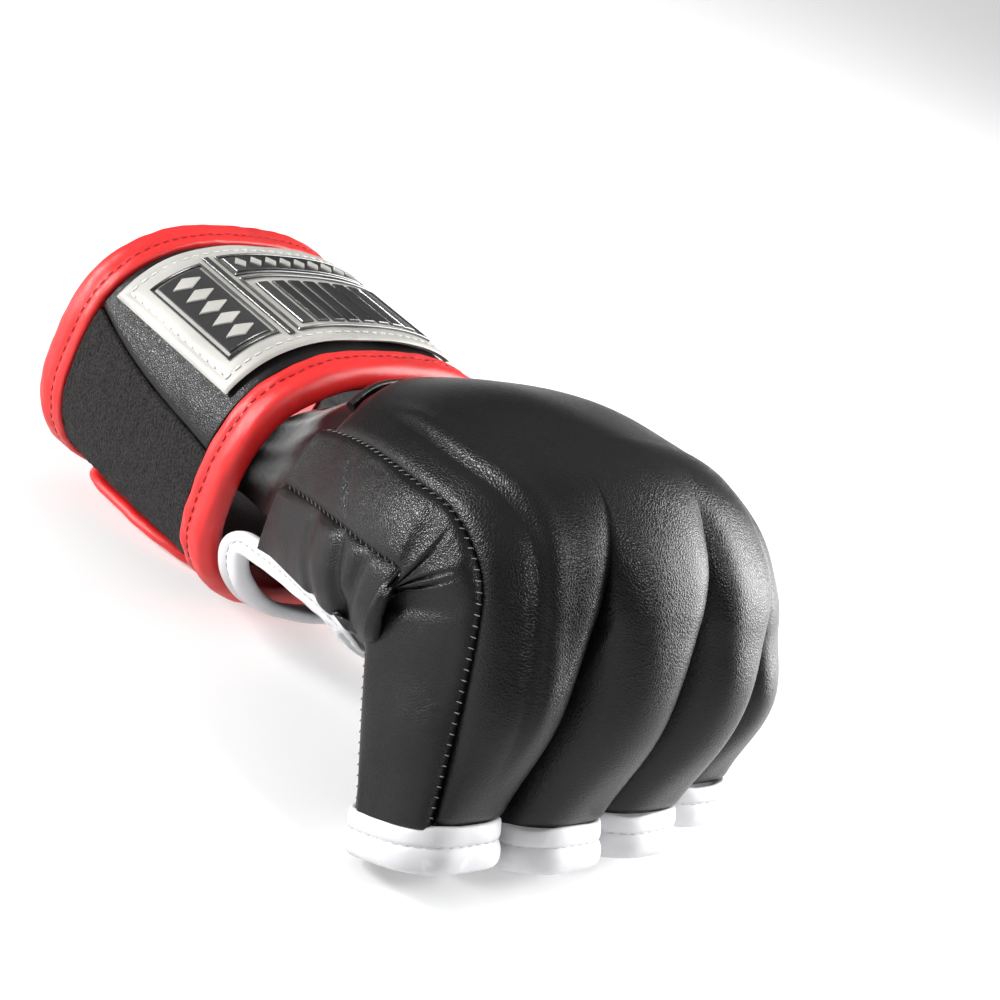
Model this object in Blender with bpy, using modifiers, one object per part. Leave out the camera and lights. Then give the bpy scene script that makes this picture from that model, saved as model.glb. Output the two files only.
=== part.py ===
"""A left-hand open-palm grappling glove, closed round a loose fist and lying palm down.

Frame, in metres: X across the hand with the thumb side at -X, Y along it with the wrist at +Y and
the knuckles at -Y, Z up from the surface that it lies on. The origin is under the cuff's centre.
Each finger turns about a line along X through its knuckle. The strap turns about two lines along Y.
"""

import math

import bmesh
import bpy
import numpy as np

MM = 0.001
GAP = 0.4 * MM

# The cuff is an oval band round the wrist. Distances along it run from the middle of its back,
# positive towards the thumb side and negative towards the little-finger side.
CUFF_HALF_WIDTH = 40 * MM
CUFF_HALF_HEIGHT = 31 * MM
CUFF_CENTRE_Z = 35.3 * MM
CUFF_SQUARENESS = 2.6
CUFF_HALF_LENGTH = 32.5 * MM
BINDING_WIDTH = 8.6 * MM
CUFF_ENDS = (-63 * MM, 150 * MM)
SEAM_AT = 51 * MM
STRAP_ROOT = -44 * MM
STRAP_CORNER = -82 * MM
STRAP_OUT = 4.4 * MM
STRAP_THICKNESS = 2.6 * MM
TAB_LENGTH = 54 * MM
TAB_BIG_RADIUS = 44 * MM
TAB_SMALL_RADIUS = 12 * MM
HOOK_SPAN = (8 * MM, 38 * MM)
HOOK_SIDES = (-4 * MM, 19 * MM)
HOOK_THICKNESS = 1.7 * MM

# The patch lies on the cuff's back panel.
PATCH_SPAN = (-26 * MM, 42 * MM)
PATCH_HALF_LENGTH = 20.5 * MM
PATCH_THICKNESS = 1.5 * MM
EMBLEM_THICKNESS = 0.8 * MM
EMBLEM_INSET = 3.5 * MM
EMBLEM_BARS = ((0.3, 0.35), (0.5, 0.6), (0.75, 0.8))

# The hand part widens from the wrist line to the knuckle line.
WRIST_Y = -34 * MM
WRIST_HALF_WIDTH = 38.5 * MM
WRIST_CENTRE_Z = 38 * MM
WRIST_UP = 27 * MM
WRIST_DOWN = 33 * MM
KNUCKLE_HALF_WIDTH = 53.5 * MM
KNUCKLE_UP = 33 * MM
KNUCKLE_DOWN = 24 * MM
BACK_BULGE = 5 * MM
HAND_SQUARENESS = 2.5
HAND_RISE = math.radians(10)
HAND_MM_PER_DEGREE = 0.78 * MM
HAND_LENGTH = 63 * MM

# Each finger: name, middle in X, half width, knuckle Y, knuckle Z.
FINGERS = (
    ("index", -38.5 * MM, 12.9 * MM, -94.0 * MM, 53.2 * MM),
    ("middle", -12.3 * MM, 12.5 * MM, -98.0 * MM, 54.2 * MM),
    ("ring", 13.2 * MM, 12.2 * MM, -98.5 * MM, 51.9 * MM),
    ("little", 37.9 * MM, 11.8 * MM, -95.0 * MM, 46.4 * MM),
)
FINGER_DROP = math.radians(65)
FINGER_HALF_DEPTH = 12.0 * MM
SLEEVE_START = 20 * MM
PAD_START = 1.5 * MM
HEM_LENGTH = 9.4 * MM
HEM_CLEARANCE = 0.2 * MM
PAD_INNER = 12.3 * MM
PAD_THINNEST = 15.4 * MM
GROOVE_DEPTH = 8 * MM
LEATHER = 1.5 * MM
FOAM_INSET = 2.5 * MM
PAD_SPREAD = (1, 0.88, 0.62, 0.3, 0, -0.3, -0.62, -0.88, -1)

# The palm and thumb opening's edge on the hand: (share of the hand's length, degrees round it).
OPENING_EDGE = (
    (0.085, 199), (0.24, 198), (0.45, 200), (0.63, 203), (0.74, 208), (0.765, 219), (0.76, 237),
    (0.74, 258), (0.68, 276), (0.56, 289), (0.40, 294), (0.24, 290), (0.11, 272), (0.075, 248),
    (0.070, 222),
)
OPENING_BAND = 7.2 * MM

BLACK_LEATHER = ((0.012, 0.012, 0.013), 0.38)
RED_LEATHER = ((0.72, 0.02, 0.025), 0.42)
WHITE_LEATHER = ((0.80, 0.80, 0.82), 0.45)
LOOP_FABRIC = ((0.008, 0.008, 0.009), 0.95)
HOOK_FABRIC = ((0.02, 0.02, 0.02), 0.8)
LINING_FABRIC = ((0.03, 0.03, 0.032), 0.9)
PATCH_RUBBER = ((0.62, 0.60, 0.57), 0.45)
EMBLEM_RUBBER = ((0.015, 0.015, 0.015), 0.3)
FOAM = ((0.25, 0.25, 0.26), 0.9)


def smooth(t):
    t = min(max(t, 0.0), 1.0)
    return t * t * (3 - 2 * t)


def mix(a, b, t):
    return a + (b - a) * t


def clear_scene():
    for obj in list(bpy.data.objects):
        bpy.data.objects.remove(obj, do_unlink=True)


def material(name, look):
    colour, roughness = look
    found = bpy.data.materials.new(name)
    found.use_nodes = True
    shader = found.node_tree.nodes["Principled BSDF"]
    shader.inputs["Base Color"].default_value = (*colour, 1)
    shader.inputs["Roughness"].default_value = roughness
    found.diffuse_color = (*colour, 1)
    return found


def add_object(name, points, faces, look, parent=None):
    """A mesh object in the glove's collection, its origin on its parent's when it has one."""
    base = np.array(parent.location) if parent else np.zeros(3)
    mesh = bpy.data.meshes.new(name)
    mesh.from_pydata([tuple(np.array(p) - base) for p in points], [], faces)
    mesh.materials.append(material(name, look))
    mesh.update()
    obj = bpy.data.objects.new(name, mesh)
    GLOVE.objects.link(obj)
    obj.parent = parent
    return obj


def sheet(name, point, columns, rows, thickness, look, parent=None, keep=None):
    """An open surface point(u, v), thickened inwards. keep(u, v) says which cells stay."""
    points = [point(i / columns, j / rows) for j in range(rows + 1) for i in range(columns + 1)]
    faces = []
    for j in range(rows):
        for i in range(columns):
            if keep and not keep((i + 0.5) / columns, (j + 0.5) / rows):
                continue
            corner = j * (columns + 1) + i
            faces.append((corner, corner + 1, corner + columns + 2, corner + columns + 1))
    obj = add_object(name, points, faces, look, parent)
    if keep:
        shape = bmesh.new()
        shape.from_mesh(obj.data)
        loose = [v for v in shape.verts if not v.link_faces]
        bmesh.ops.delete(shape, geom=loose, context="VERTS")
        shape.to_mesh(obj.data)
        shape.free()
    solidify = obj.modifiers.new("thickness", "SOLIDIFY")
    solidify.thickness = thickness
    solidify.offset = -1
    solidify.use_even_offset = False
    return obj


def loft(name, rings, look, parent=None, closed=False):
    """A closed solid through unlike closed sections, capped at its ends or joined end to end."""
    count = len(rings[0])
    points = [p for ring in rings for p in ring]
    steps = len(rings) if closed else len(rings) - 1
    faces = []
    for j in range(steps):
        this = j * count
        after = ((j + 1) % len(rings)) * count
        for i in range(count):
            k = (i + 1) % count
            faces.append((this + i, this + k, after + k, after + i))
    if not closed:
        faces.append(tuple(range(count)))
        faces.append(tuple(range(len(points) - count, len(points))))
    obj = add_object(name, points, faces, look, parent)
    shape = bmesh.new()
    shape.from_mesh(obj.data)
    bmesh.ops.recalc_face_normals(shape, faces=shape.faces)
    shape.to_mesh(obj.data)
    shape.free()
    return obj


def oval(half_width, up, down, squareness, degrees):
    """(x, height) on an oval with flattened sides, degrees from +X over the back of the hand."""
    angle = math.radians(degrees)
    c, s = math.cos(angle), math.sin(angle)
    power = 2 / squareness
    x = half_width * math.copysign(abs(c) ** power, c)
    return x, (up if s > 0 else down) * math.copysign(abs(s) ** power, s)


def oval_table():
    """Distances along the cuff's oval, from the middle of its back, against degrees round it."""
    degrees = np.arange(-270, 631, 1.0)
    spots = np.array([
        oval(CUFF_HALF_WIDTH, CUFF_HALF_HEIGHT, CUFF_HALF_HEIGHT, CUFF_SQUARENESS, d)
        for d in degrees
    ])
    steps = np.linalg.norm(np.diff(spots, axis=0), axis=1)
    distance = np.concatenate([[0], np.cumsum(steps)])
    return distance - np.interp(90, degrees, distance), degrees


CUFF_DISTANCES, CUFF_DEGREES = oval_table()


def cuff_point(distance, y, out):
    """A point on the cuff, out from the bindings' outer face, and never below the floor."""
    degrees = np.interp(distance, CUFF_DISTANCES, CUFF_DEGREES)
    half_height = CUFF_HALF_HEIGHT + out
    x, height = oval(CUFF_HALF_WIDTH + out, half_height, half_height, CUFF_SQUARENESS, degrees)
    return x, y, max(CUFF_CENTRE_Z + height, 0.0)


def knuckle_line(x):
    """(y, z) of the line through the four knuckles at x."""
    middles = [finger[1] for finger in FINGERS]
    y = np.interp(x, middles, [finger[3] for finger in FINGERS])
    z = np.interp(x, middles, [finger[4] for finger in FINGERS])
    return float(y), float(z)


def hand_point(degrees, t, out=0.0):
    """A point on the hand part: t runs from the wrist line to the knuckle line."""
    widen = smooth(t)
    up = mix(WRIST_UP, KNUCKLE_UP, t) + BACK_BULGE * math.sin(math.pi * min(max(t, 0), 1)) + out
    x, height = oval(
        mix(WRIST_HALF_WIDTH, KNUCKLE_HALF_WIDTH, widen) + out,
        up,
        mix(WRIST_DOWN, KNUCKLE_DOWN, t) + out,
        HAND_SQUARENESS,
        degrees,
    )
    knuckle_y, knuckle_z = knuckle_line(x)
    y = mix(WRIST_Y, knuckle_y, t) + math.tan(HAND_RISE) * t * height
    return x, y, mix(WRIST_CENTRE_Z, knuckle_z, t) + height


def thumb_seam(t):
    return float(np.interp(t, (0.25, 0.6, 0.85, 1.0), (146, 146, 147, 150)))


def web_seam(t):
    return float(np.interp(t, (0.25, 0.6, 0.85, 1.0), (175, 174, 175, 177)))


def pad_start(degrees):
    """Where the padded back begins: it reaches the cuff, and slants away at the thumb side."""
    return float(np.interp(degrees, (95, 140), (0.06, 0.26)))


PIPING_RADIUS = 1.1 * MM
PAD_ULNAR_EDGE = 14
PAD_END = 0.955
PALM_END = 0.87
SIDE_SEAM = -12


def make_cuff():
    inner_half = CUFF_HALF_LENGTH - BINDING_WIDTH - GAP

    def band(name, span, half_length, out, thickness, look, columns):
        def point(u, v):
            return cuff_point(mix(*span, u), mix(half_length, -half_length, v), out)
        return sheet(name, point, columns, 1, thickness, look)

    band("cuff_back_panel", (STRAP_ROOT + 1 * MM, SEAM_AT - GAP), inner_half, -1 * MM, 1.2 * MM,
         BLACK_LEATHER, 16)
    band("cuff_loop_panel", (SEAM_AT + GAP, CUFF_ENDS[1] - 2 * MM), inner_half, -1 * MM, 1.2 * MM,
         LOOP_FABRIC, 22)
    band("cuff_base_band", CUFF_ENDS, inner_half, -2.7 * MM, 1.8 * MM, BLACK_LEATHER, 40)
    band("cuff_lining", CUFF_ENDS, inner_half, -5 * MM, 1 * MM, LINING_FABRIC, 40)
    for name, side in (("cuff_proximal_binding", 1), ("cuff_distal_binding", -1)):
        rings = []
        for i in range(41):
            at = mix(*CUFF_ENDS, i / 40)
            edge = side * CUFF_HALF_LENGTH
            inside = side * (CUFF_HALF_LENGTH - BINDING_WIDTH)
            middle = side * (CUFF_HALF_LENGTH - 1.5 * MM)
            rings.append([
                cuff_point(at, inside, 0), cuff_point(at, middle, 0), cuff_point(at, edge, -1.5 * MM),
                cuff_point(at, edge, -4.6 * MM), cuff_point(at, middle, -6 * MM),
                cuff_point(at, inside, -6 * MM),
            ])
        loft(name, rings, RED_LEATHER)


def make_patch():
    """The rubber patch, and the raised frame on it with three plain bars."""
    out = -1 * MM + GAP + PATCH_THICKNESS

    def on_patch(u, v, lift, inset):
        at = mix(PATCH_SPAN[0] + inset, PATCH_SPAN[1] - inset, u)
        return cuff_point(at, mix(1, -1, v) * (PATCH_HALF_LENGTH - inset), out + lift)

    def in_frame(u, v):
        border = u < 0.1 or u > 0.9 or v < 0.2 or v > 0.8
        return border or any(first < u < last for first, last in EMBLEM_BARS)

    sheet("patch_base", lambda u, v: on_patch(u, v, 0, 0), 14, 1, PATCH_THICKNESS, PATCH_RUBBER)
    lift = EMBLEM_THICKNESS + GAP
    sheet("patch_emblem", lambda u, v: on_patch(u, v, lift, EMBLEM_INSET), 20, 5, EMBLEM_THICKNESS,
          EMBLEM_RUBBER, keep=in_frame)


def pivot(name, location):
    empty = bpy.data.objects.new(name, None)
    empty.location = location
    GLOVE.objects.link(empty)
    return empty


def tab_edge(inset):
    """The tab's outline as (distance from its root, y), from its far edge round to its near one."""
    side = CUFF_HALF_LENGTH
    straight = TAB_LENGTH - TAB_BIG_RADIUS
    outline = [(mix(0.8 * MM, straight, i / 2), -side + inset) for i in range(2)]
    for centre, radius, first in (
        ((straight, -side + TAB_BIG_RADIUS), TAB_BIG_RADIUS, -90),
        ((TAB_LENGTH - TAB_SMALL_RADIUS, side - TAB_SMALL_RADIUS), TAB_SMALL_RADIUS, 0),
    ):
        for i in range(9):
            angle = math.radians(first + i * 90 / 8)
            reach = max(radius - inset, 0.5 * MM)
            outline.append((centre[0] + reach * math.cos(angle), centre[1] + reach * math.sin(angle)))
    straight = TAB_LENGTH - TAB_SMALL_RADIUS
    outline += [(mix(straight, 0.8 * MM, i / 7), side - inset) for i in range(1, 8)]
    return outline


def make_strap():
    side_pivot = pivot("strap_side_pivot", cuff_point(STRAP_ROOT, 0, STRAP_OUT))
    tab_pivot = pivot("strap_tab_pivot", cuff_point(STRAP_CORNER, 0, STRAP_OUT))
    inner_half = CUFF_HALF_LENGTH - BINDING_WIDTH - GAP
    root, corner = STRAP_ROOT - 0.8 * MM, STRAP_CORNER + 0.8 * MM

    def side_strip(name, near, far, look):
        def point(u, v):
            return cuff_point(mix(corner, root, u), mix(near, far, v), STRAP_OUT)
        sheet(name, point, 8, 1, STRAP_THICKNESS, look, side_pivot)

    side_strip("strap_side", inner_half, -inner_half, BLACK_LEATHER)
    side_strip("strap_side_proximal_binding", CUFF_HALF_LENGTH, inner_half + GAP, RED_LEATHER)
    side_strip("strap_side_distal_binding", -inner_half - GAP, -CUFF_HALF_LENGTH, RED_LEATHER)

    outer, inner = tab_edge(0), tab_edge(BINDING_WIDTH)
    inside = np.array(tab_edge(BINDING_WIDTH + GAP))
    steps = len(outer) - 1

    def on_tab(distance, y, out=STRAP_OUT):
        return cuff_point(STRAP_CORNER - distance, y, out)

    def edge_point(u, v):
        i = round(u * steps)
        return on_tab(mix(outer[i][0], inner[i][0], v), mix(outer[i][1], inner[i][1], v))

    def panel_point(u, v):
        at = mix(inside[:, 0].max() - 0.02 * MM, inside[0, 0], u)
        turn = 2 + 9
        far = np.interp(at, inside[:turn, 0], inside[:turn, 1])
        near = np.interp(-at, -inside[turn:, 0], inside[turn:, 1])
        return on_tab(at, mix(near, far, v))

    sheet("strap_tab_binding", edge_point, steps, 1, STRAP_THICKNESS, RED_LEATHER, tab_pivot)
    sheet("strap_tab", panel_point, 10, 3, STRAP_THICKNESS, BLACK_LEATHER, tab_pivot)

    def hook_point(u, v):
        under_tab = STRAP_OUT - STRAP_THICKNESS - 0.5 * MM
        return on_tab(mix(*HOOK_SPAN[::-1], u), mix(*HOOK_SIDES[::-1], v), under_tab)

    sheet("strap_hook_panel", hook_point, 6, 1, HOOK_THICKNESS, HOOK_FABRIC, tab_pivot)


def make_backhand():
    """The padded back: leather, foam and lining, with a piping along its wrist edge."""
    def spot(degrees, v, out):
        return hand_point(degrees, mix(pad_start(degrees), PAD_END, v), out)

    def pad_degrees(u, v):
        return mix(PAD_ULNAR_EDGE, thumb_seam(mix(0.21, PAD_END, v)), u)

    sheet("backhand_leather", lambda u, v: spot(pad_degrees(u, v), v, 0), 14, 7, LEATHER,
          BLACK_LEATHER)
    rings = []
    for j in range(8):
        v = j / 7
        outer = [spot(pad_degrees(0.03 + 0.94 * i / 14, v), v, -LEATHER - GAP) for i in range(15)]
        inner = []
        for x, y, z in outer:
            back_z = mix(WRIST_CENTRE_Z + 14 * MM, knuckle_line(x)[1] + PAD_INNER, smooth(v))
            drop = max((z - back_z) * 0.97, 3 * MM)
            inner.append((x * 0.96, y - math.tan(HAND_RISE) * v * drop, z - drop))
        rings.append(outer + inner[::-1])
    loft("backhand_foam", rings, FOAM)

    def lining_point(u, v):
        i = u * 14
        ring = rings[round(v * 7)]
        x, y, z = ring[29 - round(i)]
        return x * 0.985, y, z - 1.0 * MM

    sheet("backhand_lining", lining_point, 14, 7, 1 * MM, LINING_FABRIC)

    curve = bpy.data.curves.new("backhand_piping", "CURVE")
    curve.dimensions = "3D"
    curve.bevel_depth = PIPING_RADIUS
    curve.bevel_resolution = 2
    curve.use_fill_caps = True
    spline = curve.splines.new("POLY")
    route = [hand_point(d, pad_start(d) - 0.035, -1.6 * MM) for d in range(16, 133, 6)]
    spline.points.add(len(route) - 1)
    for place, co in zip(spline.points, route):
        place.co = (*co, 1)
    curve.materials.append(material("backhand_piping", BLACK_LEATHER))
    GLOVE.objects.link(bpy.data.objects.new("backhand_piping", curve))


def make_collar():
    """The thin leather between the cuff and the pad, open on the palm side."""
    def point(u, v):
        degrees = mix(-62, 176, u)
        start = pad_start(degrees) - 0.075 if degrees < 150 else 0.20
        return hand_point(degrees, mix(0.0, start, v), -4.2 * MM)

    sheet("wrist_collar", point, 30, 2, 1.2 * MM, BLACK_LEATHER)


def opening_loop(out):
    """Points on the hand along the palm opening's edge, moved out from it along the hand."""
    flat = np.array([(t * HAND_LENGTH, d * HAND_MM_PER_DEGREE) for t, d in OPENING_EDGE])
    count = len(flat)
    fine = []
    for i in range(count):
        a, b, c, d = (flat[(i + k) % count] for k in (-1, 0, 1, 2))
        for s in (0.0, 0.5):
            fine.append(0.5 * (2 * b + (c - a) * s + (2 * a - 5 * b + 4 * c - d) * s * s
                               + (3 * b - a - 3 * c + d) * s ** 3))
    fine = np.array(fine)
    along = np.roll(fine, -1, axis=0) - np.roll(fine, 1, axis=0)
    along /= np.linalg.norm(along, axis=1)[:, None]
    outward = np.stack([along[:, 1], -along[:, 0]], axis=1)
    middle = fine.mean(axis=0)
    if ((fine - middle) * outward).sum() < 0:
        outward = -outward
    moved = fine + outward * out
    return [(a / HAND_LENGTH, b / HAND_MM_PER_DEGREE) for a, b in moved]


def make_opening_binding():
    half = OPENING_BAND / 2
    sides = ((half, -1.4), (half - 1 * MM, -0.2), (-half + 1 * MM, -0.2), (-half, -1.4),
             (-half + 1 * MM, -2.8), (half - 1 * MM, -2.8))
    loops = [(opening_loop(out), lift * MM) for out, lift in sides]
    rings = [
        [hand_point(loop[i][1], loop[i][0], lift) for loop, lift in loops]
        for i in range(len(loops[0][0]))
    ]
    loft("palm_opening_binding", rings, WHITE_LEATHER, closed=True)


def make_side_panels():
    """The thin leather panels between the padded back, the palm opening and the fingers."""
    edge = opening_loop(OPENING_BAND / 2 + 0.8 * MM)
    thin = 1.2 * MM

    def hand_strip(name, first, last, start, end, columns, rows):
        def point(u, v):
            t = mix(start, end, v)
            return hand_point(mix(first(t), last(t), u), t, -0.2 * MM)
        sheet(name, point, columns, rows, thin, BLACK_LEATHER)

    hand_strip("thumb_side_strip", lambda t: thumb_seam(t) + 1.5, lambda t: web_seam(t) - 0.6,
               0.27, PAD_END, 4, 7)
    hand_strip("ulnar_side_panel", lambda t: SIDE_SEAM + 0.6, lambda t: PAD_ULNAR_EDGE - 1.2,
               0.10, PAD_END, 3, 6)

    def web_point(u, v):
        t = mix(0.25, 0.93, v)
        lower = np.interp(t, [p[0] for p in edge[1:9]], [p[1] for p in edge[1:9]])
        return hand_point(mix(web_seam(t) + 0.6, lower, u), t, -0.2 * MM)

    sheet("thumb_web_panel", web_point, 4, 8, thin, BLACK_LEATHER)

    def ulnar_point(u, v):
        t = mix(0.10, PALM_END, v)
        inner = [p for p in edge if 274 < p[1]]
        inner.sort()
        last = np.interp(t, [p[0] for p in inner], [p[1] for p in inner])
        return hand_point(mix(last - 360, SIDE_SEAM - 0.6, u), t, -0.2 * MM)

    sheet("palm_ulnar_panel", ulnar_point, 5, 8, thin, BLACK_LEATHER)

    def palm_point(u, v):
        degrees = mix(208, 270, u)
        distal = [p for p in edge if p[0] > 0.66]
        distal.sort(key=lambda p: p[1])
        near = np.interp(degrees, [p[1] for p in distal], [p[0] for p in distal])
        return hand_point(degrees, mix(near, PALM_END, v), -0.2 * MM)

    sheet("palm_finger_panel", palm_point, 10, 1, thin, BLACK_LEATHER)


def make_finger(name, middle, half_width, knuckle_y, knuckle_z):
    knuckle = pivot(name + "_knuckle_pivot", (middle, knuckle_y, knuckle_z))
    along_y, along_z = -math.cos(FINGER_DROP), -math.sin(FINGER_DROP)
    length = (knuckle_z - HEM_CLEARANCE - FINGER_HALF_DEPTH * math.cos(FINGER_DROP)) / -along_z
    pad_end = length - HEM_LENGTH - 1 * MM
    outer_sides = {"index": (0, 1), "little": (1, 0)}.get(name, (1, 1))

    def at(x, s, h):
        """x across, s along the finger and h out from it over its back."""
        return x, knuckle_y + along_y * s + along_z * h, knuckle_z + along_z * s - along_y * h

    def around(x, degrees, h):
        """The same, turned back from the finger's own direction round the knuckle."""
        lean = FINGER_DROP - math.radians(degrees)
        return x, knuckle_y - math.sin(lean) * h, knuckle_z + math.cos(lean) * h

    def pad_height(x, depth):
        """The pad's height at x. The grooves beside it are at full depth where depth is 1."""
        height = KNUCKLE_UP * (1 - abs(x / KNUCKLE_HALF_WIDTH) ** HAND_SQUARENESS) ** (1 / HAND_SQUARENESS)
        offset = (x - middle) / half_width
        grooved = outer_sides[0] if offset > 0 else outer_sides[1]
        groove = GROOVE_DEPTH * depth * grooved * abs(offset) ** 3
        return max(height - groove, PAD_THINNEST)

    def outline(inset, shrink, depth, base):
        """The pad's section across the finger as (x, h), from the +X side to the -X side."""
        reach = half_width - inset
        across = [middle + reach * w for w in PAD_SPREAD]
        heights = [
            mix(PAD_THINNEST, pad_height(middle + half_width * w, depth), 1 - shrink) - inset
            for w in PAD_SPREAD
        ]
        heights[0] = mix(base, heights[0], 0.6)
        heights[-1] = mix(base, heights[-1], 0.6)
        return [(across[0], base)] + list(zip(across, heights)) + [(across[-1], base)]

    rows = 6
    lift = PAD_INNER

    def taper(v):
        return v ** 1.3

    def cover_point(u, v, first, last):
        section = outline(0, taper(v), 1, lift)
        x, h = section[round(mix(first, last, u))]
        return at(x, mix(PAD_START, pad_end, v), h)

    last_column = 7 if name == "index" else 10
    sheet(name + "_pad_leather", lambda u, v: cover_point(u, v, 0, last_column), last_column, rows,
          LEATHER, BLACK_LEATHER, knuckle)
    if name == "index":
        def strip_point(u, v):
            section = outline(0, taper(v), 1, lift)
            ends = [np.array(section[k]) for k in (7, 8, 9, 10)]
            ends[0] = mix(ends[0], ends[1], 0.2)
            x, h = ends[round(u * 3)]
            return at(x, mix(PAD_START, pad_end, v), h)

        sheet("index_side_strip", strip_point, 3, rows, LEATHER, BLACK_LEATHER, knuckle)

    rings = []
    for j in range(rows + 1):
        v = 0.01 + 0.97 * j / rows
        section = outline(FOAM_INSET, taper(v), 1, lift)
        rings.append([at(x, mix(PAD_START, pad_end, v), h) for x, h in section])
    loft(name + "_pad_foam", rings, FOAM, knuckle)

    rings = []
    bend = math.degrees(FINGER_DROP + HAND_RISE)
    for j in range(8):
        v = j / 7
        section = outline(0.2 * MM, 0, smooth((v - 0.2) / 0.8), lift)
        rings.append([around(x, mix(bend - 1.2, 1.6, v), h) for x, h in section])
    loft(name + "_knuckle_pad", rings, BLACK_LEATHER, knuckle)

    def tube(part, start, end, out, wall, look, lip):
        def ring(s, grow):
            corners = []
            for i in range(16):
                x, h = oval(half_width + grow, FINGER_HALF_DEPTH + grow, FINGER_HALF_DEPTH + grow,
                            3.0, i * 22.5 + 11.25)
                corners.append(at(middle + x, s, h))
            return corners
        rings = [ring(start, out), ring(end - lip, out), ring(end, out - lip),
                 ring(end, out - wall), ring(start, out - wall)]
        loft(part, rings, look, knuckle, closed=True)

    tube(name + "_sleeve", SLEEVE_START, length - HEM_LENGTH - GAP, -0.3 * MM, 1.3 * MM,
         BLACK_LEATHER, 0.1 * MM)
    tube(name + "_hem", length - HEM_LENGTH, length, 0, 2.0 * MM, WHITE_LEATHER, 0.7 * MM)


clear_scene()
GLOVE = bpy.data.collections.new("grappling_glove")
bpy.context.scene.collection.children.link(GLOVE)
make_cuff()
make_patch()
make_strap()
make_backhand()
make_collar()
make_opening_binding()
make_side_panels()
for finger in FINGERS:
    make_finger(*finger)
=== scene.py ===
"""A left-hand open-palm grappling glove in a loose fist: black leather, red and white bindings.

The glove lies palm down with its thumb side at -X, its wrist at +Y and its knuckles at -Y.
Shape functions work in millimetres, and meshes are stored in metres.
"""
import math

import bpy
import numpy as np
from bpy.props import FloatProperty, FloatVectorProperty, PointerProperty
from mathutils import Matrix, Vector


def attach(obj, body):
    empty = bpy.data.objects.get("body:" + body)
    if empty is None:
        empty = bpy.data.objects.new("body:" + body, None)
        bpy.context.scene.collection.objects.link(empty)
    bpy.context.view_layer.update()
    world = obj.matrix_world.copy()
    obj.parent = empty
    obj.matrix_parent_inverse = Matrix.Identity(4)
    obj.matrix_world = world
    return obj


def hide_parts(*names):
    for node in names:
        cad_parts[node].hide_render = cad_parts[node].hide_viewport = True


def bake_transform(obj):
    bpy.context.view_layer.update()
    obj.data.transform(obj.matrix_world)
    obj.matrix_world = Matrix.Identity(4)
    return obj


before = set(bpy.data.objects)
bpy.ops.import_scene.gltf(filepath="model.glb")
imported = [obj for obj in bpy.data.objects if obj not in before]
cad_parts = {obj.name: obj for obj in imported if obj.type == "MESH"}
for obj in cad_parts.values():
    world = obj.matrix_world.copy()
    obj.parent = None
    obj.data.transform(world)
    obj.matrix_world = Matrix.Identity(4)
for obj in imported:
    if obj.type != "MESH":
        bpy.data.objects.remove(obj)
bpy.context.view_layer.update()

bl_info = {
    "name": "Grappling Glove",
    "version": (1, 0, 0),
    "blender": (4, 5, 0),
    "location": "3D View > Sidebar > Glove",
    "description": "Builds a padded open-palm grappling glove piece by piece",
    "category": "Add Mesh",
}

MM = 0.001

# The cuff is an oval band. Distances along it run from the middle of its back, positive towards
# the thumb side and negative towards the little-finger side.
CUFF_HALF_WIDTH, CUFF_HALF_HEIGHT, CUFF_CENTRE_Z, CUFF_SQUARENESS = 40, 31, 35.3, 2.6
CUFF_HALF_LENGTH = 32.5
CUFF_ENDS = (-63, 150)
SEAM_AT = 51
STRAP_ROOT, STRAP_CORNER, STRAP_OUT, STRAP_THICKNESS = -44, -82, 4.4, 2.6
TAB_LENGTH, TAB_BIG_RADIUS, TAB_SMALL_RADIUS, TAB_ROOT_GAP = 54, 44, 12, 0.15
PATCH_SPAN, PATCH_HALF_LENGTH, PATCH_THICKNESS = (-26, 42), 20.5, 1.5

# The hand part widens from the wrist line to the knuckle line.
WRIST_Y, WRIST_HALF_WIDTH, WRIST_CENTRE_Z, WRIST_UP, WRIST_DOWN = -34, 38.5, 38, 27, 33
KNUCKLE_HALF_WIDTH, KNUCKLE_UP, KNUCKLE_DOWN = 53.5, 33, 24
BACK_BULGE, HAND_SQUARENESS, HAND_RISE = 5, 2.5, 10
HAND_LENGTH, HAND_MM_PER_DEGREE = 63, 0.78

# Each finger: middle in X, half width, knuckle Y, knuckle Z.
FINGERS = {
    "index": (-38.5, 12.9, -94.0, 53.2),
    "middle": (-12.3, 12.5, -98.0, 54.2),
    "ring": (13.2, 12.2, -98.5, 51.9),
    "little": (37.9, 11.8, -95.0, 46.4),
}
FINGER_DROP, FINGER_HALF_DEPTH, FINGER_SQUARENESS = 65, 12, 3
HEM_LENGTH = 9.4
PAD_HEM_HEIGHT = 13.4
STRAIGHT_MM = 50
PAD_ULNAR_EDGE = 14
SIDE_SEAM = -12
OPENING_EDGE = (
    (0.085, 199), (0.24, 198), (0.45, 200), (0.63, 203), (0.74, 208), (0.765, 219), (0.76, 237),
    (0.74, 258), (0.68, 276), (0.56, 289), (0.40, 294), (0.24, 290), (0.11, 272), (0.075, 248),
    (0.070, 222),
)
OPENING_BAND = 7.2


# ---------------------------------------------------------------- shapes, in millimetres

def smooth(t):
    t = np.clip(t, 0, 1)
    return t * t * (3 - 2 * t)


def mix(a, b, t):
    return a + (b - a) * t


def bell(x, width):
    return np.exp(-((x / width) ** 2))


def ripples(u, v, seed, size):
    """A smooth uneven surface from -1 to 1, with hollows about size apart."""
    chance = np.random.default_rng(seed)
    total = 0 * u
    for _ in range(7):
        angle = chance.uniform(0, math.tau)
        pace = math.tau / size * chance.uniform(0.6, 1.5)
        total = total + np.sin(pace * (math.cos(angle) * u + math.sin(angle) * v)
                               + chance.uniform(0, math.tau))
    return total / 4


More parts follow.
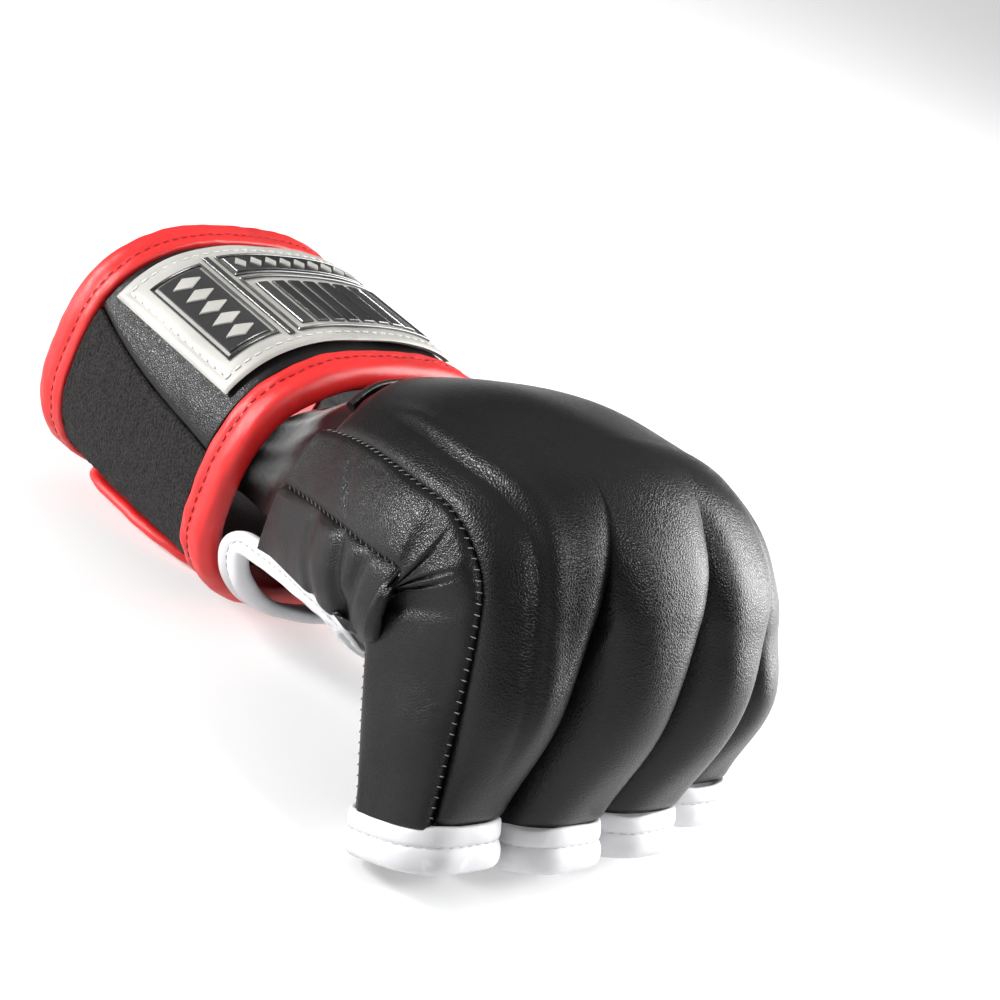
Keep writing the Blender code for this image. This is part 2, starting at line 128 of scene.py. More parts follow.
def curve_through(points, t, closed=False):
    """Places on a smooth line through the points, for t from 0 to 1."""
    points = np.asarray(points, float)
    count = len(points)
    t = np.clip(np.asarray(t, float), 0, 1) * (count if closed else count - 1)
    start = np.minimum(t.astype(int), count - 1 if closed else count - 2)
    s = (t - start)[..., None]
    pick = (lambda k: points[(start + k) % count]) if closed else (
        lambda k: points[np.clip(start + k, 0, count - 1)])
    a, b, c, d = pick(-1), pick(0), pick(1), pick(2)
    return 0.5 * (2 * b + (c - a) * s + (2 * a - 5 * b + 4 * c - d) * s ** 2
                  + (3 * b - a - 3 * c + d) * s ** 3)


def oval(half_width, up, down, squareness, degrees):
    """(x, height) on an oval with flattened sides, degrees from +X over the back of the hand."""
    angle = np.radians(degrees)
    c, s = np.cos(angle), np.sin(angle)
    power = 2 / squareness
    x = half_width * np.sign(c) * np.abs(c) ** power
    return x, np.where(s > 0, up, down) * np.sign(s) * np.abs(s) ** power


def cuff_table():
    degrees = np.arange(-270, 631, 0.5)
    x, h = oval(CUFF_HALF_WIDTH, CUFF_HALF_HEIGHT, CUFF_HALF_HEIGHT, CUFF_SQUARENESS, degrees)
    distance = np.concatenate([[0], np.cumsum(np.hypot(np.diff(x), np.diff(h)))])
    return distance - np.interp(90, degrees, distance), degrees


CUFF_DISTANCES, CUFF_DEGREES = cuff_table()


def cuff_at(distance, y, out):
    """A point on the cuff, out from the bindings' outer face, and never below the floor."""
    degrees = np.interp(distance, CUFF_DISTANCES, CUFF_DEGREES)
    height = CUFF_HALF_HEIGHT + out
    x, h = oval(CUFF_HALF_WIDTH + out, height, height, CUFF_SQUARENESS, degrees)
    return np.stack([x, y + 0 * x, np.maximum(CUFF_CENTRE_Z + h, 0)], -1)


MIDDLES = [finger[0] for finger in FINGERS.values()]
KNUCKLE_Y_CURVE = np.polyfit(MIDDLES, [finger[2] for finger in FINGERS.values()], 3)
KNUCKLE_Z_CURVE = np.polyfit(MIDDLES, [finger[3] for finger in FINGERS.values()], 3)


def knuckle_line(x):
    """(y, z) of the smooth line through the four knuckles, level beyond the outer two."""
    reach = np.abs(x)
    x = np.sign(x) * np.where(reach < 36, reach, 36 + 7 * np.tanh((reach - 36) / 7))
    return np.polyval(KNUCKLE_Y_CURVE, x), np.polyval(KNUCKLE_Z_CURVE, x)


def hand_section(degrees, t, out=0.0):
    """(x, h) on the hand's outline at t, which runs from the wrist line to the knuckle line."""
    t = np.clip(t, -1, 1)
    up = mix(WRIST_UP, KNUCKLE_UP, t) + BACK_BULGE * np.sin(math.pi * np.clip(t, 0, 1)) + out
    width = mix(WRIST_HALF_WIDTH, KNUCKLE_HALF_WIDTH, smooth(t)) + out
    return oval(width, up, mix(WRIST_DOWN, KNUCKLE_DOWN, t) + out, HAND_SQUARENESS, degrees)


def along(x, h, w, finger=None, settled=0.0):
    """A section point (x, h) carried along the glove: w from 0 to 1 is the hand, from 1 to 2 the
    turn over the knuckles, and beyond 2 the straight part of a finger."""
    y, z = knuckle_line(x)
    if finger:
        y, z = mix(y, finger[2], settled), mix(z, finger[3], settled)
    t = np.minimum(w, 1)
    lean = np.radians(-HAND_RISE + (FINGER_DROP + HAND_RISE) * np.clip(w - 1, 0, 1))
    reach = h * mix(1 / math.cos(math.radians(HAND_RISE)), 1, smooth(w - 1))
    down = np.maximum(w - 2, 0) * STRAIGHT_MM
    drop = math.radians(FINGER_DROP)
    on_hand = w < 1
    place_y = np.where(on_hand, mix(WRIST_Y, y, t) + math.tan(math.radians(HAND_RISE)) * t * h,
                       y - np.sin(lean) * reach - math.cos(drop) * down)
    place_z = np.where(on_hand, mix(WRIST_CENTRE_Z, z, t) + h,
                       z + np.cos(lean) * reach - math.sin(drop) * down)
    return np.stack(np.broadcast_arrays(x, place_y, place_z), -1)


def on_hand(degrees, t, out=0.0):
    x, h = hand_section(degrees, t, out)
    return along(x, h, t)


def thumb_seam(w):
    return 148 + 3 * smooth((w - 0.40) / 1.1)


def web_seam(w):
    return 175 + 2 * smooth((w - 0.50) / 0.8)


def pad_start(degrees):
    return 0.06 + 0.20 * smooth((degrees - 88) / 62)


def finger_length(finger):
    drop = math.radians(FINGER_DROP)
    return (finger[3] - 0.2 - FINGER_HALF_DEPTH * math.cos(drop)) / math.sin(drop)


def on_finger(finger, degrees, s, out=0.0):
    """A point on a finger's own oval, s along it from the knuckle, whose back is a little higher."""
    depth = FINGER_HALF_DEPTH + out
    x, h = oval(finger[1] + out, depth + PAD_HEM_HEIGHT - FINGER_HALF_DEPTH, depth,
                FINGER_SQUARENESS, degrees)
    return along(finger[0] + x, h, 2 + s / STRAIGHT_MM, finger, 1.0)


def edge_roll(distance, radius):
    """How far a padded surface falls at this distance from its edge."""
    return -radius * (1 - np.sqrt(1 - (1 - np.clip(distance / radius, 0, 1)) ** 2))


def opening_line(t, out):
    """(share of the hand's length, degrees) along the palm opening's edge, moved out from it."""
    flat = np.array([(a * HAND_LENGTH, d * HAND_MM_PER_DEGREE) for a, d in OPENING_EDGE])
    place = curve_through(flat, t, True)
    ahead = curve_through(flat, (t + 0.004) % 1, True)
    behind = curve_through(flat, (t - 0.004) % 1, True)
    line = ahead - behind
    line /= np.linalg.norm(line, axis=-1)[..., None]
    outward = np.stack([-line[..., 1], line[..., 0]], -1)
    if ((place - flat.mean(0)) * outward).sum() < 0:
        outward = -outward
    place = place + outward * np.asarray(out)[..., None]
    return place[..., 0] / HAND_LENGTH, place[..., 1] / HAND_MM_PER_DEGREE


def tab_line(t, inset):
    """(distance from the tab's root, y) along its outline, from its far side round to its near."""
    side, straight = CUFF_HALF_LENGTH, TAB_LENGTH - TAB_BIG_RADIUS
    lengths = np.array([straight, TAB_BIG_RADIUS * math.pi / 2,
                        2 * side - TAB_BIG_RADIUS - TAB_SMALL_RADIUS,
                        TAB_SMALL_RADIUS * math.pi / 2, TAB_LENGTH - TAB_SMALL_RADIUS])
    ends = np.concatenate([[0], np.cumsum(lengths)]) / lengths.sum()
    share = [np.clip((t - ends[k]) / (ends[k + 1] - ends[k]), 0, 1) for k in range(5)]
    part = np.clip(np.searchsorted(ends, t, side="right") - 1, 0, 4)
    big, small = max(TAB_BIG_RADIUS - inset, 0.5), max(TAB_SMALL_RADIUS - inset, 0.5)
    turn = math.pi / 2
    xs = [
        mix(TAB_ROOT_GAP, straight, share[0]),
        straight + big * np.cos(turn * (share[1] - 1)),
        TAB_LENGTH - inset + 0 * t,
        TAB_LENGTH - TAB_SMALL_RADIUS + small * np.cos(turn * share[3]),
        mix(TAB_LENGTH - TAB_SMALL_RADIUS, TAB_ROOT_GAP, share[4]),
    ]
    ys = [
        -side + inset + 0 * t,
        -side + TAB_BIG_RADIUS + big * np.sin(turn * (share[1] - 1)),
        mix(-side + TAB_BIG_RADIUS, side - TAB_SMALL_RADIUS, share[2]),
        side - TAB_SMALL_RADIUS + small * np.sin(turn * share[3]),
        side - inset + 0 * t,
    ]
    return np.choose(part, xs), np.choose(part, ys)


# ---------------------------------------------------------------- materials

def nodes_of(tree):
    tree.nodes.clear()

    def add(kind, place=(0, 0), **values):
        node = tree.nodes.new(kind)
        node.location = place
        for key, value in values.items():
            setattr(node, key, value)
        return node

    def join(source, out, target, into):
        tree.links.new(source.outputs[out], target.inputs[into])

    return add, join


def make_group(name, inputs, outputs):
    """An empty shader node group with named sockets, its input and output nodes, add and join."""
    group = bpy.data.node_groups.new(name, "ShaderNodeTree")
    for label, kind, value in inputs:
        socket = group.interface.new_socket(label, in_out="INPUT", socket_type=kind)
        if value is not None:
            socket.default_value = value
    for label, kind in outputs:
        group.interface.new_socket(label, in_out="OUTPUT", socket_type=kind)
    add, join = nodes_of(group)
    return group, add("NodeGroupInput", (-900, 0)), add("NodeGroupOutput", (700, 0)), add, join


def math_node(add, operation, place, *values, clamp=False):
    node = add("ShaderNodeMath", place, operation=operation, use_clamp=clamp)
    for k, value in enumerate(values):
        if value is not None:
            node.inputs[k].default_value = value
    return node


def pebble_group():
    """Leather grain: rounded pebbles with fine pores, and a slow change of tone."""
    group, start, end, add, join = make_group(
        "Pebble Grain",
        [("Vector", "NodeSocketVector", None), ("Pebble Size", "NodeSocketFloat", 0.8),
         ("Evenness", "NodeSocketFloat", 0.75)],
        [("Height", "NodeSocketFloat"), ("Tone", "NodeSocketFloat")])
    scale = math_node(add, "DIVIDE", (-700, -200), 1000.0)
    cells = add("ShaderNodeTexVoronoi", (-300, 200), feature="DISTANCE_TO_EDGE")
    join(start, "Pebble Size", scale, 1)
    bend = add("ShaderNodeTexNoise", (-700, 200))
    bend.inputs["Scale"].default_value = 420
    bend.inputs["Detail"].default_value = 1
    nudge = add("ShaderNodeVectorMath", (-520, 200), operation="MULTIPLY_ADD")
    nudge.inputs[1].default_value = (0.0006, 0.0006, 0.0006)
    join(start, "Vector", bend, "Vector")
    join(bend, "Color", nudge, 0)
    join(start, "Vector", nudge, 2)
    join(nudge, "Vector", cells, "Vector")
    join(scale, "Value", cells, "Scale")
    dome = math_node(add, "MULTIPLY", (-100, 200), None, 2.6, clamp=True)
    join(cells, "Distance", dome, 0)
    root = math_node(add, "POWER", (60, 200), None, 0.55)
    join(dome, "Value", root, 0)
    pores = add("ShaderNodeTexNoise", (-300, -120))
    pores.inputs["Detail"].default_value = 4
    finer = math_node(add, "MULTIPLY", (-500, -120), None, 1.7)
    join(scale, "Value", finer, 0)
    join(start, "Vector", pores, "Vector")
    join(finer, "Value", pores, "Scale")
    blend = add("ShaderNodeMix", (260, 80), data_type="FLOAT")
    join(start, "Evenness", blend, 0)
    join(pores, "Fac", blend, 2)
    join(root, "Value", blend, 3)
    join(blend, 0, end, "Height")
    tone = add("ShaderNodeTexNoise", (-300, -420))
    tone.inputs["Scale"].default_value = 38
    tone.inputs["Detail"].default_value = 3
    join(start, "Vector", tone, "Vector")
    join(tone, "Fac", end, "Tone")
    return group


def crease_group():
    """Soft hide creases, and the bright rubbed spots and dust that go with handling."""
    group, start, end, add, join = make_group(
        "Hide Creases",
        [("Vector", "NodeSocketVector", None), ("Crease Spacing", "NodeSocketFloat", 9.0)],
        [("Height", "NodeSocketFloat"), ("Rubbed", "NodeSocketFloat")])
    scale = math_node(add, "DIVIDE", (-700, -100), 1000.0)
    join(start, "Crease Spacing", scale, 1)
    folds = add("ShaderNodeTexNoise", (-400, 100), noise_type="RIDGED_MULTIFRACTAL", normalize=True)
    folds.inputs["Detail"].default_value = 3
    folds.inputs["Distortion"].default_value = 0.6
    join(start, "Vector", folds, "Vector")
    join(scale, "Value", folds, "Scale")
    join(folds, "Fac", end, "Height")
    specks = add("ShaderNodeTexNoise", (-400, -200))
    specks.inputs["Scale"].default_value = 260
    specks.inputs["Detail"].default_value = 5
    join(start, "Vector", specks, "Vector")
    mask = add("ShaderNodeMapRange", (-100, -200))
    mask.inputs["From Min"].default_value = 0.60
    mask.inputs["From Max"].default_value = 0.78
    join(specks, "Fac", mask, "Value")
    join(mask, "Result", end, "Rubbed")
    return group


def pile_group():
    """Matted loops or woven threads, as a height and a shade."""
    group, start, end, add, join = make_group(
        "Matted Pile",
        [("Vector", "NodeSocketVector", None), ("Loop Size", "NodeSocketFloat", 0.6)],
        [("Height", "NodeSocketFloat"), ("Shade", "NodeSocketFloat")])
    scale = math_node(add, "DIVIDE", (-700, -100), 1000.0)
    join(start, "Loop Size", scale, 1)
    loops = add("ShaderNodeTexVoronoi", (-400, 150), feature="F1")
    fuzz = add("ShaderNodeTexNoise", (-400, -150))
    fuzz.inputs["Detail"].default_value = 6
    fuzz.inputs["Roughness"].default_value = 0.75
    for node in (loops, fuzz):
        join(start, "Vector", node, "Vector")
        join(scale, "Value", node, "Scale")
    both = math_node(add, "MULTIPLY_ADD", (-100, 60), None, -0.6)
    join(loops, "Distance", both, 0)
    join(fuzz, "Fac", both, 2)
    join(both, "Value", end, "Height")
    join(fuzz, "Fac", end, "Shade")
    return group


def finish(name, colour, roughness, **constants):
    """A material's shader with its object coordinates: (material, add, join, shader, coordinates)."""
    made = bpy.data.materials.new(name)
    made.use_nodes = True
    made.diffuse_color = (*colour, 1)
    add, join = nodes_of(made.node_tree)
    shader = add("ShaderNodeBsdfPrincipled", (300, 0))
    out = add("ShaderNodeOutputMaterial", (600, 0))
    join(shader, "BSDF", out, "Surface")
    where = add("ShaderNodeTexCoord", (-1100, 0))
    shader.inputs["Base Color"].default_value = (*colour, 1)
    shader.inputs["Roughness"].default_value = roughness
    for label, value in constants.items():
        shader.inputs[label.replace("_", " ")].default_value = value
    return made, add, join, shader, where


def placed(add, group, place, **values):
    node = add("ShaderNodeGroup", place, node_tree=group)
    for label, value in values.items():
        node.inputs[label.replace("_", " ")].default_value = value
    return node


def ramp_between(add, place, low, high, start=0.0, end=1.0):
    ramp = add("ShaderNodeValToRGB", place)
    ramp.color_ramp.elements[0].color = (*low, 1)
    ramp.color_ramp.elements[1].color = (*high, 1)
    ramp.color_ramp.elements[0].position = start
    ramp.color_ramp.elements[1].position = end
    return ramp


def leather(groups, name, colour, roughness, pebble, relief, crease, crease_relief, light=1.6,
            **constants):
    """Grained leather: pebbles and hide creases in the bump, worn and dusty spots in the colour."""
    made, add, join, shader, where = finish(name, colour, roughness, **constants)
    grain = placed(add, groups["grain"], (-800, 200), Pebble_Size=pebble)
    folds = placed(add, groups["crease"], (-800, -200), Crease_Spacing=crease)
    join(where, "Object", grain, "Vector")
    join(where, "Object", folds, "Vector")
    low = tuple(c * 0.72 for c in colour)
    high = tuple(min(c * light, 1) for c in colour)
    tone = ramp_between(add, (-520, 320), low, high, 0.3, 0.72)
    join(grain, "Tone", tone, "Fac")
    worn = add("ShaderNodeMix", (-200, 320), data_type="RGBA")
    worn.inputs[7].default_value = (*(min(c * 1.3 + 0.006, 1) for c in colour), 1)
    part = math_node(add, "MULTIPLY", (-420, 60), None, 0.35)
    join(folds, "Rubbed", part, 0)
    join(part, "Value", worn, 0)
    join(tone, "Color", worn, 6)
    join(worn, 2, shader, "Base Color")
    rough = add("ShaderNodeMapRange", (-420, -60))
    rough.inputs["To Min"].default_value = roughness + 0.07
    rough.inputs["To Max"].default_value = roughness - 0.05
    join(grain, "Height", rough, "Value")
    join(rough, "Result", shader, "Roughness")
    broad = add("ShaderNodeBump", (-200, -260))
    broad.inputs["Strength"].default_value = crease_relief
    broad.inputs["Distance"].default_value = 0.0008
    join(folds, "Height", broad, "Height")
    fine = add("ShaderNodeBump", (40, -260))
    fine.inputs["Strength"].default_value = relief
    fine.inputs["Distance"].default_value = 0.00022
    join(grain, "Height", fine, "Height")
    join(broad, "Normal", fine, "Normal")
    join(fine, "Normal", shader, "Normal")
    return made


def cloth(groups, name, colour, loop, relief, light, **constants):
    """Pile or woven cloth, with matted loops in the bump and the shade."""
    made, add, join, shader, where = finish(name, colour, 0.92, **constants)
    pile = placed(add, groups["pile"], (-800, 0), Loop_Size=loop)
    join(where, "Object", pile, "Vector")
    tone = ramp_between(add, (-400, 200), tuple(c * 0.5 for c in colour),
                        tuple(min(c * light, 1) for c in colour), 0.38, 0.68)
    join(pile, "Shade", tone, "Fac")
    join(tone, "Color", shader, "Base Color")
    bump = add("ShaderNodeBump", (-200, -200))
    bump.inputs["Strength"].default_value = relief
    bump.inputs["Distance"].default_value = 0.0005
    join(pile, "Height", bump, "Height")
    join(bump, "Normal", shader, "Normal")
    return made


def make_materials(look):
    groups = {"grain": pebble_group(), "crease": crease_group(), "pile": pile_group()}
    black, red, white = look.leather_colour[:], look.red_colour[:], look.white_colour[:]
    grain = look.grain_size * 1000
    dull = {"Specular_IOR_Level": 0.26}
    made = {
        "pad": leather(groups, "padded_black_leather", black, 0.31, grain, 0.34, 16, 0.04, **dull),
        "thin": leather(groups, "thin_black_leather", black, 0.31, grain * 0.8, 0.34, 7, 0.18,
                        **dull),
        "gloss": leather(groups, "gloss_black_leather", black, 0.22, grain * 0.6, 0.2, 6, 0.12),
        "red": leather(groups, "red_leather", red, 0.40, grain * 0.5, 0.22, 6, 0.12, 1.12),
        "white": leather(groups, "white_leather", white, 0.42, grain * 0.5, 0.2, 7, 0.16, 1.06),
        "patch": leather(groups, "patch_rubber", look.patch_colour[:], 0.42, 0.35, 0.18, 10, 0.1,
                         1.08),
        "emblem": leather(groups, "emblem_rubber", (0.012, 0.012, 0.012), 0.22, 0.35, 0.1, 5, 0.1,
                          Coat_Weight=0.6, Coat_Roughness=0.12),
        "loop": cloth(groups, "loop_pile", (0.006, 0.0055, 0.0055), 0.55, 1.0, 7.0, Sheen_Weight=0.04,
                      Sheen_Roughness=0.5, Specular_IOR_Level=0.15),
        "hook": cloth(groups, "hook_pile", (0.02, 0.02, 0.021), 1.1, 0.8, 2.5),
        "lining": cloth(groups, "lining_cloth", (0.03, 0.03, 0.032), 0.5, 0.5, 2.0),
    }
    # The red thread is coloured darker than the red binding: painted shade of the stitch holes. The
    # other threads keep their own colours.
    for name, colour, roughness in (("red_thread_painted_shade", (0.33, 0.006, 0.008), 0.6),
                                    ("grey_thread", (0.50, 0.50, 0.52), 0.5),
                                    ("black_thread", (0.02, 0.02, 0.021), 0.25),
                                    ("bright_thread", (0.28, 0.28, 0.28), 0.18),
                                    ("clear_thread", (0.70, 0.69, 0.66), 0.3)):
        made[name] = cloth(groups, name, colour, 0.2, 0.3, 1.5)
        made[name].node_tree.nodes["Principled BSDF"].inputs["Roughness"].default_value = roughness
    return made


MATERIALS = {}


def finishes():
    if not MATERIALS:
        MATERIALS.update(make_materials(bpy.context.scene.glove_look))
    return MATERIALS


# ---------------------------------------------------------------- making pieces

HAND_INSIDE = (0, -66, 44)
CUFF_INSIDE = (0, 0, 35)


def deselect():
    if bpy.context.mode != "OBJECT":
        bpy.ops.object.mode_set(mode="OBJECT")
    bpy.ops.object.select_all(action="DESELECT")


def only(obj):
    deselect()
    obj.select_set(True)
    bpy.context.view_layer.objects.active = obj


def in_edit(obj, *steps):
    only(obj)
    bpy.ops.object.mode_set(mode="EDIT")
    bpy.ops.mesh.select_all(action="SELECT")
    for step in steps:
        step()
    bpy.ops.object.mode_set(mode="OBJECT")


def flat_piece(name, columns, rows, place, inside=None):
    """A grid of leather or cloth laid out flat, then moved to where place(u, v) says. Its faces
    point away from the inside point."""
    deselect()
    bpy.ops.mesh.primitive_grid_add(x_subdivisions=columns, y_subdivisions=rows, size=1)
    obj = bpy.context.object
    obj.name = obj.data.name = name
    flat = np.zeros(len(obj.data.vertices) * 3)
    obj.data.vertices.foreach_get("co", flat)
    flat = flat.reshape(-1, 3)
    u, v = flat[:, 0] + 0.5, flat[:, 1] + 0.5
    points = place(u, v)
    obj.data.vertices.foreach_set("co", (points * MM).ravel())
    obj.data.update()
    if inside is not None:
        face = obj.data.polygons[len(obj.data.polygons) // 2 + columns // 2]
        if (face.center / MM - Vector(inside)).dot(face.normal) < 0:
            obj.data.flip_normals()
    return obj


def use_modifier(obj, kind, **values):
    only(obj)
    modifier = obj.modifiers.new(kind.title(), kind)
    for key, value in values.items():
        setattr(modifier, key, value)
    bpy.ops.object.modifier_apply(modifier=modifier.name)


def dress(obj, look, body, replaced=(), angle=50):
    """Gives a finished piece its material and smooth shading, and ties it to a body."""
    only(obj)
    bpy.ops.object.shade_smooth_by_angle(angle=math.radians(angle))
    obj.data.materials.clear()
    obj.data.materials.append(finishes()[look])
    if body:
        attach(obj, body)
    if replaced:
        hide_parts(*replaced)
    return obj


def panel(name, columns, rows, place, thickness, inside, look, body, replaced=()):
    """A thin panel: a flat piece laid in place, thickened inwards, with rounded edges."""
    obj = flat_piece(name, columns, rows, place, inside)
    use_modifier(obj, "SOLIDIFY", thickness=thickness * MM, offset=-1)
    use_modifier(obj, "BEVEL", width=thickness * 0.3 * MM, segments=2, limit_method="ANGLE",
                 angle_limit=math.radians(60))
    return dress(obj, look, body, replaced)


def tape(name, steps, line, profile, look, body, replaced=(), closed=False, around=28):
    """A folded tape: its profile's points carried along a line. line(u, across, lift) gives the
    place of a profile point."""
    def place(u, v):
        section = curve_through(profile, v, True)
        return line(u, section[:, 0], section[:, 1])

    obj = flat_piece(name, steps, around, place)
    closing = [lambda: bpy.ops.mesh.remove_doubles(threshold=0.00002)]
    if not closed:
        closing.append(lambda: bpy.ops.mesh.fill_holes(sides=0))
    closing.append(lambda: bpy.ops.mesh.normals_make_consistent(inside=False))
    in_edit(obj, *closing)
    return dress(obj, look, body, replaced, 60)


def stitch_shape():
    """The points and faces of one stitch: a small closed bead, longer than it is wide."""
    deselect()
    bpy.ops.mesh.primitive_uv_sphere_add(segments=6, ring_count=4, radius=0.5)
    bead = bpy.context.object
    points = np.array([v.co[:] for v in bead.data.vertices])
    faces = [tuple(face.vertices) for face in bead.data.polygons]
    mesh = bead.data
    bpy.data.objects.remove(bead)
    bpy.data.meshes.remove(mesh)
    return points[:, [2, 0, 1]], faces


def sew(name, line, look, body, spacing=2.6, length=1.9, width=0.42, height=0.3, lift=0.08,
        crosswise=False, slant=0.0):
    """A row of stitches along line: (places, outward directions), in millimetres."""
    places, outward = line
    steps = np.linalg.norm(np.diff(places, axis=0), axis=1)
    run = np.concatenate([[0], np.cumsum(steps)])
    at = np.arange(spacing / 2, run[-1], spacing)
    centre = np.stack([np.interp(at, run, places[:, k]) for k in range(3)], -1)
    ahead = np.stack([np.interp(at + 0.4, run, places[:, k]) for k in range(3)], -1)
    behind = np.stack([np.interp(at - 0.4, run, places[:, k]) for k in range(3)], -1)
    up = np.stack([np.interp(at, run, outward[:, k]) for k in range(3)], -1)
    forward = ahead - behind
    forward /= np.linalg.norm(forward, axis=1)[:, None] + 1e-9
    up -= (up * forward).sum(1)[:, None] * forward
    up /= np.linalg.norm(up, axis=1)[:, None] + 1e-9
    side = np.cross(up, forward)
    if crosswise:
        forward, side = side, forward
    turned = math.radians(slant)
    forward, side = (forward * math.cos(turned) + side * math.sin(turned),
                     side * math.cos(turned) - forward * math.sin(turned))
    bead, faces = stitch_shape()
    points = (centre[:, None] + up[:, None] * lift
              + bead[None, :, 0, None] * length * forward[:, None]
              + bead[None, :, 1, None] * width * side[:, None]
              + bead[None, :, 2, None] * height * up[:, None])
    count = len(bead)
    all_faces = [tuple(i + k * count for i in face) for k in range(len(centre)) for face in faces]
    mesh = bpy.data.meshes.new(name)
    mesh.from_pydata((points.reshape(-1, 3) * MM).tolist(), [], all_faces)
    obj = bpy.data.objects.new(name, mesh)
    bpy.context.scene.collection.objects.link(obj)
    in_edit(obj, lambda: bpy.ops.mesh.normals_make_consistent(inside=False))
    return dress(obj, look, body, (), 60)


def surface_line(place, u, v):
    """Places and outward directions along a line on place(u, v), for sew."""
    points = place(u, v)
    e = 0.002
    along_u = place(u + e, v) - place(u - e, v)
    along_v = place(u, v + e) - place(u, v - e)
    outward = np.cross(along_u, along_v)
    outward /= np.linalg.norm(outward, axis=-1)[:, None] + 1e-9
    return points, outward


# ---------------------------------------------------------------- the cuff

BINDING_PROFILE = (
    (8.6, -1.2), (8.55, -0.45), (8.0, -0.05), (6.9, 0.16), (6.2, 0.0), (5.7, -0.16), (5.2, 0.0),
    (4.2, 0.34), (2.6, 0.42), (1.2, 0.0), (0.2, -1.2), (0.0, -2.9), (0.3, -4.6), (1.6, -5.8),
    (4.4, -6.0), (8.3, -5.9), (8.6, -5.2), (8.5, -3.2),
)


def back_seam(v):
    """Where the back leather meets the loop pile, slanting away from the patch towards the hand."""
    return SEAM_AT + mix(-5, 4.5, v) + 1.2 * np.sin(v * 4)


def cuff_panel_at(first, last, out, puff, seed):
    """place(u, v) for a cuff panel whose edges are drawn down and whose face is slightly uneven."""
    half = CUFF_HALF_LENGTH - 9.0

    def place(u, v, first=first, last=last):
        first = back_seam(v) + 0.1 if first == SEAM_AT else first
        last = back_seam(v) - 0.1 if last == SEAM_AT else last
        at, y = mix(first, last, u), mix(half, -half, v)
        edge = np.minimum(np.abs(at - first), np.abs(last - at))
        lift = out + edge_roll(edge, 0.8) + puff * ripples(at, y, seed, 26)
        return cuff_at(at, y, lift)
    return place


class GLOVE_OT_cuff_panels(bpy.types.Operator):
    """Makes the cuff's leather back, loop pile, base band and lining"""
    bl_idname = "glove.cuff_panels"
    bl_label = "Cuff Panels"

    def execute(self, context):
        back = panel("cuff_back", 86, 46, cuff_panel_at(STRAP_ROOT + 1, SEAM_AT, -0.8, 0.22, 3),
                     1.2, CUFF_INSIDE, "thin", "hand", ["cuff_back_panel"])
        loop = panel("cuff_loop_pile", 240, 110,
                     lambda u, v: pile_at(cuff_panel_at(SEAM_AT, CUFF_ENDS[1] - 2, -0.9, 0.15, 5),
                                          u, v),
                     1.3, CUFF_INSIDE, "loop", "hand", ["cuff_loop_panel"])
        base = panel("cuff_base", 160, 20, cuff_panel_at(*CUFF_ENDS, -2.7, 0.05, 7), 1.8, CUFF_INSIDE,
                     "thin", "hand", ["cuff_base_band"])
        lining = panel("cuff_inner_lining", 160, 20, cuff_panel_at(*CUFF_ENDS, -5, 0.1, 9), 1.0,
                       CUFF_INSIDE, "lining", "hand", ["cuff_lining"])
        return {"FINISHED"}


def pile_at(place, u, v):
    """The loop pile's own matted surface on top of place(u, v)."""
    points = place(u, v)
    a, b = u * 106, v * 47
    rough = ripples(a, b, 11, 1.4) * 0.16 + ripples(a, b, 12, 5.0) * 0.12
    middle = np.array([0, 0, CUFF_CENTRE_Z])
    outward = points - middle
    outward[:, 1] = 0
    outward /= np.linalg.norm(outward, axis=1)[:, None]
    points = points + outward * rough[:, None]
    points[:, 2] = np.maximum(points[:, 2], 0)
    return points


class GLOVE_OT_cuff_bindings(bpy.types.Operator):
    """Folds the red bindings over the cuff's two edges and sews them"""
    bl_idname = "glove.cuff_bindings"
    bl_label = "Cuff Bindings"

    def execute(self, context):
        first, last = CUFF_ENDS
        for name, side in (("cuff_proximal_binding", 1), ("cuff_distal_binding", -1)):
            def line(u, across, lift, side=side):
                at = mix(first, last, u)
                waver = 0.22 * ripples(at, 0 * at, 20 + side, 24)
                crush = 0.14 * ripples(at, across * 2, 24 + side, 7) * smooth((lift + 3) / 3)
                return cuff_at(at, side * (CUFF_HALF_LENGTH - across - waver), lift + crush)

            tape(name + "_tape", 230, line, BINDING_PROFILE, "red", "hand", [name],
                 around=40)
            u = np.linspace(0.004, 0.996, 500)
            points = line(u, 5.75 + 0 * u, -0.08 + 0 * u)
            outward = line(u, 5.75 + 0 * u, 1 + 0 * u) - points
            sew(name + "_stitches", (points, outward), "red_thread_painted_shade", "hand", 2.5, 1.8, 0.42, 0.34,
                0.1)
        return {"FINISHED"}


PATCH_OUT = -0.6 + PATCH_THICKNESS


def on_patch(a, b, lift):
    """A point on the patch: a from its thumb end, b from its wrist edge, lift over its face."""
    return cuff_at(PATCH_SPAN[1] - a, PATCH_HALF_LENGTH - b, PATCH_OUT + lift)


def raised_shapes():
    """The emblem's raised shapes as (a, b) rectangles: low edges, then high edges. Two thin
    frames, a heavy rule, a row of tall bars, and two filled blocks."""
    shapes = []

    def frame_of(a0, b0, a1, b1, w):
        shapes.extend([(a0, b0, a1, b0 + w), (a0, b1 - w, a1, b1), (a0, b0 + w, a0 + w, b1 - w),
                       (a1 - w, b0 + w, a1, b1 - w)])

    frame_of(5.6, 6.2, 18.6, 35.4, 0.5)
    shapes.append((6.9, 7.5, 17.3, 34.1))
    shapes.append((20.0, 4.8, 21.5, 37.0))
    frame_of(22.9, 5.2, 63.2, 13.2, 0.45)
    shapes.append((24.1, 6.4, 62.0, 12.0))
    frame_of(22.9, 14.6, 63.2, 36.6, 0.45)
    bar, gap, at = 3.1, 1.35, 25.4
    while at + bar < 62:
        shapes.append((at, 17.2, at + bar, 34.2))
        at += bar + gap
    return shapes


